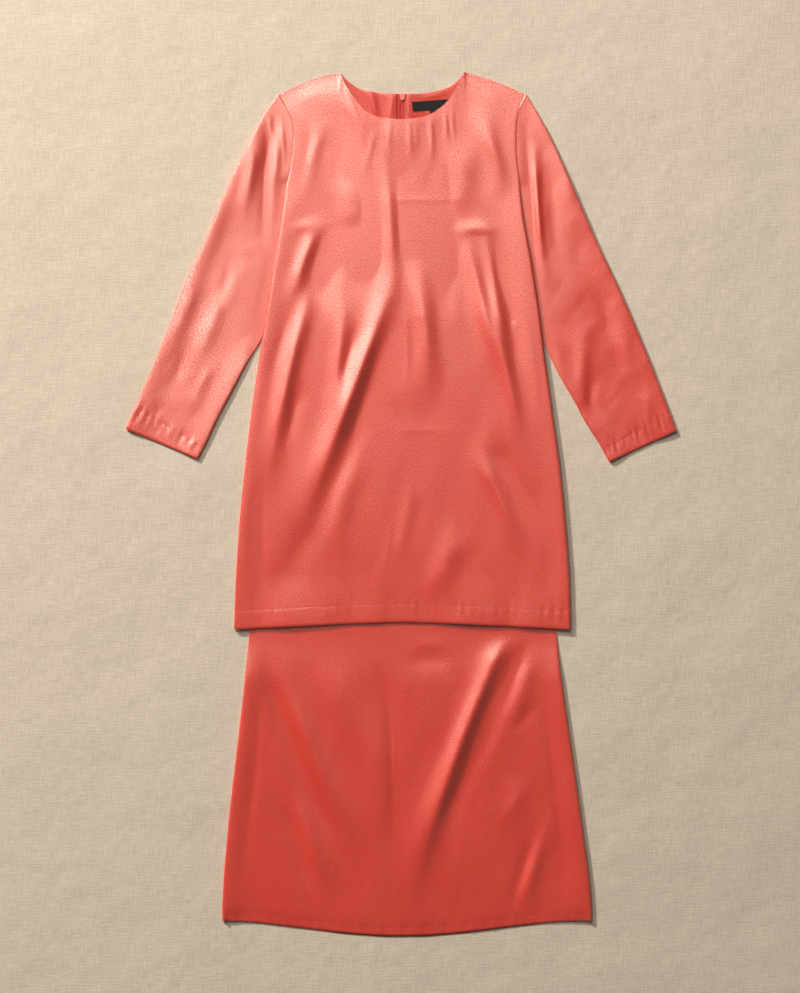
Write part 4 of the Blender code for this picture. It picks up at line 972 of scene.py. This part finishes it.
def make_sleeve(side, sections, folds, seed):
    """Make one sleeve and return it."""
    sign = -1.0 if side == "left" else 1.0
    body_edge = front_left if side == "left" else front_right
    armhole = hidden_edge(side)
    read = sleeve_columns(sections)
    t = np.linspace(0.0, 1.0, SLEEVE_RINGS)
    band_rings = 1.0 - np.array([0.5, 1.2, 27.0, 28.0, 29.0, 30.0, 31.0]) / SLEEVE_LENGTH
    t = np.sort(np.concatenate([t, band_rings]))[:, None]
    gap = ARMHOLE_GAP
    outer_x, outer_y = read["outer_x"](t) + sign * gap * read["bulge"](t), read["outer_y"](t)
    inner_x, inner_y = read["inner_x"](t) + sign * (gap + 0.4), read["inner_y"](t)
    outer_top, inner_top = read["outer_top"](t), read["inner_top"](t)
    width = np.hypot(inner_x - outer_x, inner_y - outer_y)
    way_x, way_y = (inner_x - outer_x) / width, (inner_y - outer_y) / width
    outer_roll, inner_roll = (outer_top - FLOOR_LAYER) / 2, (inner_top - FLOOR_LAYER) / 2

    def layer(count):
        share = np.linspace(0.0, 1.0, count)[None, :]
        along = mix(outer_roll, width - inner_roll, share)
        x, y = outer_x + way_x * along, outer_y + way_y * along
        hole_y = mix(SHOULDER_Y, UNDERARM_Y, share)
        slope = (armhole(np.minimum(hole_y + 2.0, SHOULDER_Y)) - armhole(hole_y - 2.0)) / 4.0
        length = np.hypot(1.0, slope)
        hole_x = armhole(hole_y) + sign * gap / length
        bend_x, bend_y = hole_x - x[:1], hole_y - sign * gap * slope / length - y[:1]
        bulge = read["bulge"](t)
        near_top = np.clip(bulge * 4.0 - 3.0, 0.0, 1.0)
        window = mix(np.minimum(1.0, 1.6 * np.sin(math.pi * share)), 1.0, near_top)
        return x + bend_x * bulge * window, y + bend_y * bulge * window, along

    top_x, top_y, along = layer(TOP_POINTS)
    from_outer, from_inner = along - outer_roll, width - inner_roll - along
    crown = SLEEVE_CROWN * np.sin(math.pi * from_outer / (from_outer + from_inner))
    outer = (outer_top - SLEEVE_REST) * np.exp(-(from_outer / 26.0) ** 2)
    inner = (inner_top - SLEEVE_REST) * np.exp(-(from_inner / 22.0) ** 2)
    free = SLEEVE_REST + outer + inner + crown + fold_height(folds, top_x, top_y)
    free += (0.3 * ripple(top_x, top_y, seed, 120.0, 45.0)
             + 0.14 * ripple(top_x, top_y, seed + 2, 40.0, 18.0, 14))
    free = soft_floor(free, FLOOR_LAYER + 0.9, 0.6)
    rest = mix(SLEEVE_REST, front_seam(top_y), ease((top_y - 500.0) / 21.0))
    outside = sign * (top_x - body_edge(top_y))
    top_z = mix(rest, free, ease((outside - 1.5) / SLEEVE_RISE))
    above_cuff = (1.0 - t) * SLEEVE_LENGTH
    top_z = top_z + hem_band(above_cuff + 0.0 * top_x, along, CUFF_STITCH, seed + 1) * (above_cuff < 60.0)
    under_x, under_y, _ = layer(UNDER_POINTS)
    under_z = np.full_like(under_x, FLOOR_LAYER)

    def bend(edge_x, edge_y, edge_z, roll, direction):
        angles = np.radians(np.linspace(-90.0, 90.0, BEND_POINTS + 2)[1:-1])[None, :]
        x = edge_x + direction * way_x * roll * np.cos(angles)
        y = edge_y + direction * way_y * roll * np.cos(angles)
        return x, y, mix(FLOOR_LAYER, edge_z, (1.0 + np.sin(angles)) / 2)

    inner_bend = bend(top_x[:, -1:], top_y[:, -1:], top_z[:, -1:], inner_roll, 1.0)
    outer_bend = bend(top_x[:, :1], top_y[:, :1], top_z[:, :1], outer_roll, -1.0)
    order = [(under_x, under_y, under_z), inner_bend, tuple(a[:, ::-1] for a in (top_x, top_y, top_z)),
             tuple(a[:, ::-1] for a in outer_bend), tuple(a[:, :1] for a in (under_x, under_y, under_z))]
    if side == "right":
        order = [tuple(a[:, ::-1] for a in part) for part in reversed(order)]
    x, y, z = (np.concatenate([part[i] for part in order], axis=1) for i in range(3))
    return cloth_sheet("satin_sleeve_" + side, x, y, z, satin, closed=True, length=t * SLEEVE_LENGTH)


sleeve_left = make_sleeve("left", LEFT_SLEEVE, LEFT_SLEEVE_FOLDS, 21)
sleeve_right = make_sleeve("right", RIGHT_SLEEVE, RIGHT_SLEEVE_FOLDS, 31)

# %% [markdown]
# ## The tunic's back and its neck facings
# The back is cut in two, because the zip opens it down the centre. Each half lies flat on the floor above
# the skirt, steps up onto the skirt's top and rolls up at its side to meet the front. A facing finishes the
# inside of the back neck on each half. It is the glossy band that shows above the front's neckline.

# %% Back halves
TAPE_WIDTH = 14.0
SLIT_HALF_WIDTH = 1.4
CLOSED_HALF_WIDTH = 0.2
SLIT_BOTTOM_Y = 615.0
FACING_SEAM = 0.75
SIDE_TURN_LENGTH = 34.0
FACING_DEPTH_SHARE = 0.2845
FACING_STARTS = {"left": 10.0, "right": 2.9}
FACING_FOLDS = table(FOLD, (
    (2.4, 5, 0, 0.2, -58, 672, -44, 630, -33, 584),
    (1.4, 4, 0, 0.2, -17, 664, -16, 622, -20, 580),
    (0.9, 4, 0, 0.2, 10, 638, 48, 641, 92, 656),
    (0.7, 3, 0, 0.2, 14, 660, 12, 622, 12, 590),
))
neck_back = track(NECK_SECTIONS, "x", "back")


def back_top(side, start):
    """Places of the back's top edge from near the centre out to the shoulder tip."""
    sign = -1.0 if side == "left" else 1.0
    tip = NECK_SECTIONS[0].x if side == "left" else NECK_SECTIONS[-1].x
    neck_x = np.linspace(CENTRE_BACK_X + sign * start, tip, 40)
    outs = np.linspace(0.06, 0.97, 16)
    shoulder_x = track(SHOULDER_SECTIONS, "out", side + "_x")(outs)
    shoulder_y = track(SHOULDER_SECTIONS, "out", side + "_y")(outs)
    return neck_x, neck_back(neck_x), shoulder_x, shoulder_y


def make_back(side):
    """One half of the tunic's back."""
    sign = -1.0 if side == "left" else 1.0
    edge = hidden_edge(side)
    neck_x, neck_y, shoulder_x, shoulder_y = back_top(side, 0.0)
    insets, rises = roll_places()
    insets, rises = insets[::-1], rises[::-1]
    top_x = np.concatenate([neck_x, shoulder_x])
    top_y = np.concatenate([neck_y, shoulder_y, np.full(len(insets), SHOULDER_Y)])

    def reach(y):
        return edge(y) - sign * ROLL_WIDTH - CENTRE_BACK_X

    across = (top_x - CENTRE_BACK_X) / reach(top_y[:len(top_x)])
    rows_x, rows_y = [], []
    marks = np.concatenate([np.linspace(0.0, 1.0, 50), np.linspace(1.0, 2.0, 92)[1:]])
    for mark in marks:
        y = mix(top_y, UNDERARM_Y, min(mark, 1.0))
        if mark > 1.0:
            y = np.full_like(top_y, mix(UNDERARM_Y, TUNIC_HEM_MIDDLE_Y, mark - 1.0))
        x = np.concatenate([CENTRE_BACK_X + reach(y[:len(top_x)]) * across,
                            edge(y[len(top_x):]) - sign * insets])
        x[0] = CENTRE_BACK_X + sign * (SLIT_HALF_WIDTH if y[0] > SLIT_BOTTOM_Y else CLOSED_HALF_WIDTH)
        rows_x.append(x)
        rows_y.append(y + (tunic_hem(x) - TUNIC_HEM_MIDDLE_Y) * max(mark - 1.0, 0.0) ** 4)
    x, y = np.array(rows_x), np.array(rows_y)
    z = back_height(x, y)
    turn = ease((SIDE_SHOWS_Y - y) / SIDE_TURN_LENGTH)
    rise = (front_seam(y) - FACING_SEAM - FLOOR_LAYER) * turn
    for i, share in enumerate(rises):
        column = len(top_x) + i
        z[:, column] = FLOOR_LAYER + rise[:, column] * (1.0 - share)
    return cloth_sheet("satin_tunic_back_" + side, x, y, z, satin)


def make_facing(side):
    """The facing inside one half of the back neck."""
    sign = -1.0 if side == "left" else 1.0
    edge = hidden_edge(side)
    neck_x, neck_y, _, _ = back_top(side, FACING_STARTS[side])
    shares = np.concatenate([[0.0, 0.0015, 0.006], np.linspace(0.02, FACING_DEPTH_SHARE, 18)])[:, None]
    y = mix(neck_y[None, :] - 0.2, UNDERARM_Y, shares)
    scale = (edge(y) - sign * ROLL_WIDTH - CENTRE_BACK_X) / (edge(neck_y) - sign * ROLL_WIDTH - CENTRE_BACK_X)
    x = CENTRE_BACK_X + (neck_x - CENTRE_BACK_X) * scale
    x[:, 0] = neck_x[0]
    along = np.abs(x - CENTRE_BACK_X)
    lift = LAYER * (1.0 + np.clip((34.0 - along) / (34.0 - TAPE_WIDTH), 0.0, 1.0))
    z = back_height(x, y) + lift + fold_height(FACING_FOLDS, x, y) - 0.3 * (1.0 - ease(shares / 0.006))
    # The facing's satin is darkened as painted shade.
    return cloth_sheet("satin_neck_facing_" + side, x, y, z, facing_satin_painted_shade)


back_left, back_right = make_back("left"), make_back("right")
facing_left, facing_right = make_facing("left"), make_facing("right")

# %% [markdown]
# ## The skirt's back and the zip's tapes
# These lie hidden under the rest. Their solids already have the right form, so each becomes a copy whose
# loose triangles are merged and smoothed.

# %% Hidden shells


def shell_from_node(node, name, material):
    """Copy a node's solid, merge its triangles, smooth it and give it a cloth finish."""
    piece = bpy.data.objects.new(name, NODES[node].data.copy())
    bpy.context.scene.collection.objects.link(piece)
    mesh = piece.data
    work = bmesh.new()
    work.from_mesh(mesh)
    bmesh.ops.remove_doubles(work, verts=work.verts, dist=2e-6)
    bmesh.ops.join_triangles(work, faces=work.faces, angle_face_threshold=0.35, angle_shape_threshold=0.9)
    layer = work.loops.layers.uv.new("cloth")
    for face in work.faces:
        for loop in face.loops:
            loop[layer].uv = loop.vert.co.xy
    work.to_mesh(mesh)
    work.free()
    mesh.materials.clear()
    mesh.materials.append(material)
    mesh.shade_smooth()
    select_only(piece)
    bpy.ops.object.shade_smooth_by_angle(angle=SMOOTH_ANGLE)
    print(name, len(mesh.polygons), "faces")
    return piece


skirt_back = shell_from_node("skirt_back", "satin_skirt_back", satin)
tape_left = shell_from_node("zip_tape_left", "woven_zip_tape_left", tape_coral)
tape_right = shell_from_node("zip_tape_right", "woven_zip_tape_right", tape_coral)

# %% [markdown]
# ## The label and the size tab
# The label is a bare strip of black tape with its two ends folded under, so it is thicker there. It is sewn
# on the right facing and tilts up a little to the right. A small looped tab hangs from its lower edge.

# %% Label and tab
LABEL_START = (17.6, 617.0)
LABEL_LENGTH = 58.0
LABEL_HEIGHT = 14.5
LABEL_TILT = math.radians(5.0)
LABEL_WALL = 0.5
LABEL_LIFT = 0.95
FOLDED_END = 3.4
TAB_ALONG = 27.0
TAB_WIDTH = 10.5
TAB_HEIGHT = 6.5
TAB_GAP = 0.3


def surface_reader(piece):
    """Return a function that gives the height of a piece's top at a place, all in millimetres."""
    mesh = piece.data
    tree = BVHTree.FromPolygons([v.co for v in mesh.vertices], [p.vertices for p in mesh.polygons])

    def read(x, y):
        hit = tree.ray_cast(Vector((x * MM, y * MM, 1.0)), Vector((0.0, 0.0, -1.0)))[0]
        return hit.z / MM if hit else None

    return read


def make_label_piece(name, along, down, length, height, ends):
    """A flat woven piece on the right facing, with a thicker fold at its ends."""
    read = surface_reader(facing_right)
    reach_x, reach_y = math.cos(LABEL_TILT), math.sin(LABEL_TILT)
    right = along + length * np.linspace(0.0, 1.0, 41)[None, :]
    up = down + height * np.linspace(0.0, 1.0, 13)[:, None]
    x = LABEL_START[0] + right * reach_x - up * reach_y
    y = LABEL_START[1] + right * reach_y + up * reach_x
    lift = LABEL_LIFT + 0.25 * ends * (np.minimum(right - along, along + length - right) < FOLDED_END)
    z = np.array([[read(a, b) for a, b in zip(*row)] for row in zip(x, y)]) + lift
    return cloth_sheet(name, x, y, z, label_black, wall=LABEL_WALL)


neck_label = make_label_piece("woven_neck_label", 0.0, 0.0, LABEL_LENGTH, LABEL_HEIGHT, 1.0)
size_tab = make_label_piece("woven_size_tab", TAB_ALONG, -TAB_HEIGHT - TAB_GAP, TAB_WIDTH, TAB_HEIGHT, 0.0)

# %% [markdown]
# ## The zip's teeth
# A concealed zip has two nylon coils that hook into each other down the middle. Each is one fine tube wound
# along a helix. Both are joined into one piece in place of the plain rod of the solid.

# %% Coils
COIL_TOP_Y = 633.4
COIL_BOTTOM_Y = 222.0
COIL_PITCH = 1.5
COIL_RADIUS = 1.25
COIL_FLAT = 0.5
COIL_WIRE = 0.46
COIL_SHIFT = 0.95
TURN_STEPS = 10
WIRE_SIDES = 5


def tube_mesh(name, paths, radius, sides, material):
    """Make one piece from tubes along paths of places in millimetres."""
    places, faces = [], []
    for path in paths:
        path = np.asarray(path)
        along = np.gradient(path, axis=0)
        along /= np.linalg.norm(along, axis=1, keepdims=True)
        side = np.cross(along, (0.0, 0.0, 1.0))
        side /= np.maximum(np.linalg.norm(side, axis=1, keepdims=True), 1e-6)
        up = np.cross(side, along)
        start, count = len(places), len(path)
        for i in range(count):
            thin = 0.55 if i in (0, count - 1) else 1.0
            for j in range(sides):
                angle = 2.0 * math.pi * j / sides
                reach = radius * thin * (side[i] * math.cos(angle) + up[i] * math.sin(angle))
                places.append(tuple((path[i] + reach) * MM))
        for i in range(count - 1):
            for j in range(sides):
                here, after = start + i * sides, start + (i + 1) * sides
                faces.append((here + j, here + (j + 1) % sides, after + (j + 1) % sides, after + j))
        faces.append(tuple(start + j for j in reversed(range(sides))))
        faces.append(tuple(start + (count - 1) * sides + j for j in range(sides)))
    mesh = bpy.data.meshes.new(name)
    mesh.from_pydata(places, [], faces)
    mesh.materials.append(material)
    mesh.shade_smooth()
    piece = bpy.data.objects.new(name, mesh)
    bpy.context.scene.collection.objects.link(piece)
    print(name, len(paths), "tubes,", len(faces), "faces")
    return piece


def node_box(node):
    """Lowest and highest corner of a node's solid in millimetres."""
    corners = np.array([v.co for v in NODES[node].data.vertices]) / MM
    return corners.min(axis=0), corners.max(axis=0)


coil_low, coil_high = node_box("zip_coil")
print("coil solid", coil_low.round(2), coil_high.round(2))
coil_paths = []
for shift, phase in ((-COIL_SHIFT, 0.0), (COIL_SHIFT, math.pi)):
    turns = (COIL_TOP_Y - COIL_BOTTOM_Y) / COIL_PITCH
    angle = np.linspace(0.0, 2.0 * math.pi * turns, int(turns * TURN_STEPS))
    path_x = CENTRE_BACK_X + shift + COIL_RADIUS * np.cos(angle + phase)
    path_y = COIL_TOP_Y - COIL_PITCH * angle / (2.0 * math.pi)
    path_z = (coil_low[2] + coil_high[2]) / 2 + COIL_FLAT * np.sin(angle + phase)
    middle = back_height(path_x, path_y) - back_height(CENTRE_BACK_X, COIL_TOP_Y)
    coil_paths.append(np.stack([path_x, path_y, path_z + middle], axis=1))
zip_teeth = tube_mesh("nylon_zip_coils", coil_paths, COIL_WIRE, WIRE_SIDES, coil_red)

# %% [markdown]
# ## The stitches
# The hems and cuffs are turned up and topstitched, and the label is sewn down at both ends. Each stitch is a
# short thread that lies on its cloth. The height comes from looking straight down at the cloth below it.

# %% Stitches
STITCH_LENGTH = 2.5
STITCH_STEP = 3.5
THREAD_RADIUS = 0.24
THREAD_SINK = 0.04


def stitch_paths(points, read, step=STITCH_STEP, length=STITCH_LENGTH):
    """Cut a line across the cloth into stitches and lay each on the surface."""
    points = np.asarray(points)
    run = np.concatenate([[0.0], np.cumsum(np.hypot(*np.diff(points, axis=0).T))])
    paths = []
    for start in np.arange(0.5, run[-1] - length, step):
        spots = start + length * np.array([0.0, 0.3, 0.7, 1.0])
        x, y = np.interp(spots, run, points[:, 0]), np.interp(spots, run, points[:, 1])
        z = [read(a, b) for a, b in zip(x, y)]
        if None not in z:
            sink = THREAD_SINK + THREAD_RADIUS * np.array([1.0, 0.0, 0.0, 1.0])
            paths.append(np.stack([x, y, np.array(z) + THREAD_RADIUS - sink], axis=1))
    return paths


def cuff_points(sections):
    """The stitch line around a sleeve's top layer, above its cuff."""
    read = sleeve_columns(sections)
    t = 1.0 - CUFF_STITCH / SLEEVE_LENGTH
    share = np.linspace(0.02, 0.98, 60)
    return np.stack([mix(read["outer_x"](t), read["inner_x"](t), share),
                     mix(read["outer_y"](t), read["inner_y"](t), share)], axis=1)


def label_points(along):
    """The stitch line down the label at a distance from its left end."""
    up = np.linspace(0.8, LABEL_HEIGHT - 0.8, 20)
    return np.stack([LABEL_START[0] + along * math.cos(LABEL_TILT) - up * math.sin(LABEL_TILT),
                     LABEL_START[1] + along * math.sin(LABEL_TILT) + up * math.cos(LABEL_TILT)], axis=1)


across = np.linspace(-256.0, 257.0, 400)
tunic_line = np.stack([across, tunic_hem(across) + HEM_STITCH], axis=1)
across = np.linspace(-278.0, 292.0, 400)
skirt_line = np.stack([across, skirt_hem(across) + SKIRT_STITCH], axis=1)
STITCHED = (
    ("tunic_front", tunic_front, [tunic_line], thread),
    ("skirt_front", skirt_front, [skirt_line], thread),
    ("sleeve_left", sleeve_left, [cuff_points(LEFT_SLEEVE)], thread),
    ("sleeve_right", sleeve_right, [cuff_points(RIGHT_SLEEVE)], thread),
    ("neck_label", neck_label, [label_points(along) for along in (FOLDED_END, LABEL_LENGTH - FOLDED_END)],
     label_thread),
)
GARMENT = "garment"
stitches = {}
for node, cloth, lines, finish in STITCHED:
    read = surface_reader(cloth)
    paths = [path for line in lines for path in stitch_paths(line, read)]
    stitches[node] = tube_mesh("thread_" + node, paths, THREAD_RADIUS, 5, finish)
    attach(stitches[node], GARMENT)

# %% [markdown]
# ## The floor
# The floor is a pale linen cloth just under the garment. Its weave is two crossing sets of uneven threads,
# and a faint mottle keeps it from looking painted.

# %% Floor
FLOOR_HALF = 3.0
LINEN_THREADS = 420.0
LINEN_DARK = (0.575, 0.480, 0.368)
LINEN_PALE = (0.690, 0.580, 0.452)
deselect_all()
bpy.ops.mesh.primitive_plane_add(size=2.0 * FLOOR_HALF, location=(0.0, 0.0, -0.0002))
floor = bpy.context.active_object
floor.name = "floor"
floor_material, floor_nodes, floor_links, floor_shader = new_material("pale_floor")
floor_place = floor_nodes.new("ShaderNodeTexCoord").outputs["Object"]
threads = []
for stretch in ((LINEN_THREADS, LINEN_THREADS / 9.0, 1.0), (LINEN_THREADS / 9.0, LINEN_THREADS, 1.0)):
    mapping = floor_nodes.new("ShaderNodeMapping")
    mapping.inputs["Scale"].default_value = stretch
    floor_links.new(floor_place, mapping.inputs["Vector"])
    noise = add_noise(floor_nodes, floor_links, mapping.outputs["Vector"], 1.0, 3.0, 0.6)
    threads.append(noise.outputs["Fac"])
weave = floor_nodes.new("ShaderNodeMath")
weave.operation = "ADD"
floor_links.new(threads[0], weave.inputs[0])
floor_links.new(threads[1], weave.inputs[1])
tone = add_range(floor_nodes, floor_links, weave.outputs["Value"], 0.0, 1.0, 0.75, 1.25)
floor_links.new(add_colour_mix(floor_nodes, floor_links, tone, LINEN_DARK, LINEN_PALE),
                floor_shader.inputs["Base Color"])
mottle = add_noise(floor_nodes, floor_links, floor_place, 7.0, 3.0)
soft = add_bump(floor_nodes, floor_links, mottle.outputs["Fac"], 0.5, 0.012)
floor_links.new(add_bump(floor_nodes, floor_links, weave.outputs["Value"], 0.5, 0.0008, soft),
                floor_shader.inputs["Normal"])
floor_shader.inputs["Roughness"].default_value = 0.9
floor.data.materials.append(floor_material)

# %% [markdown]
# ## Bodies and cut sizes
# All the cloth rides on the garment's body. Each sheet's cut size is printed beside the area it was made
# with.

# %% Bodies, slots and sheets
REPLACED = {
    "tunic_front": tunic_front, "tunic_back_left": back_left, "tunic_back_right": back_right,
    "sleeve_left": sleeve_left, "sleeve_right": sleeve_right,
    "neck_facing_left": facing_left, "neck_facing_right": facing_right,
    "zip_tape_left": tape_left, "zip_tape_right": tape_right,
    "neck_label": neck_label, "size_tab": size_tab, "zip_coil": zip_teeth,
    "skirt_front": skirt_front, "skirt_back": skirt_back,
}
for node, piece in REPLACED.items():
    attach(piece, GARMENT)
    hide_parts(node)

for node in ("zip_slider", "zip_pull"):
    NODES[node].data.materials.clear()
    NODES[node].data.materials.append(zip_lacquer)

Cut = namedtuple("Cut", "node width length area rests_on")
EXTRAS = {node: [piece] for node, piece in stitches.items()}
EXTRAS["neck_label"].append(size_tab)
CUTS = (
    Cut("tunic_front", 0.535, 0.90, 0.405, "tunic_back_left tunic_back_right skirt_front"),
    Cut("tunic_back_left", 0.27, 0.90, 0.20, "skirt_front"),
    Cut("tunic_back_right", 0.27, 0.90, 0.20, "skirt_front"),
    Cut("sleeve_left", 0.43, 0.58, 0.145, ""),
    Cut("sleeve_right", 0.43, 0.58, 0.145, ""),
    Cut("neck_facing_left", 0.092, 0.10, 0.0052, "tunic_back_left"),
    Cut("neck_facing_right", 0.098, 0.10, 0.0056, "tunic_back_right"),
    Cut("zip_tape_left", 0.014, 0.46, None, "tunic_back_left"),
    Cut("zip_tape_right", 0.014, 0.46, None, "tunic_back_right"),
    Cut("neck_label", 0.058, 0.0145, None, "neck_facing_right"),
    Cut("skirt_front", 0.585, 0.97, 0.46, "skirt_back"),
    Cut("skirt_back", 0.585, 0.97, 0.46, ""),
)


def one_side_area(piece):
    """Half of a closed sheet's surface, in square metres."""
    return sum(face.area for face in piece.data.polygons) / 2


for cut in CUTS:
    piece = REPLACED[cut.node]
    area = cut.area or round(cut.width * cut.length, 5)
    print(cut.node, "cut", area, "made", round(one_side_area(piece), 5))
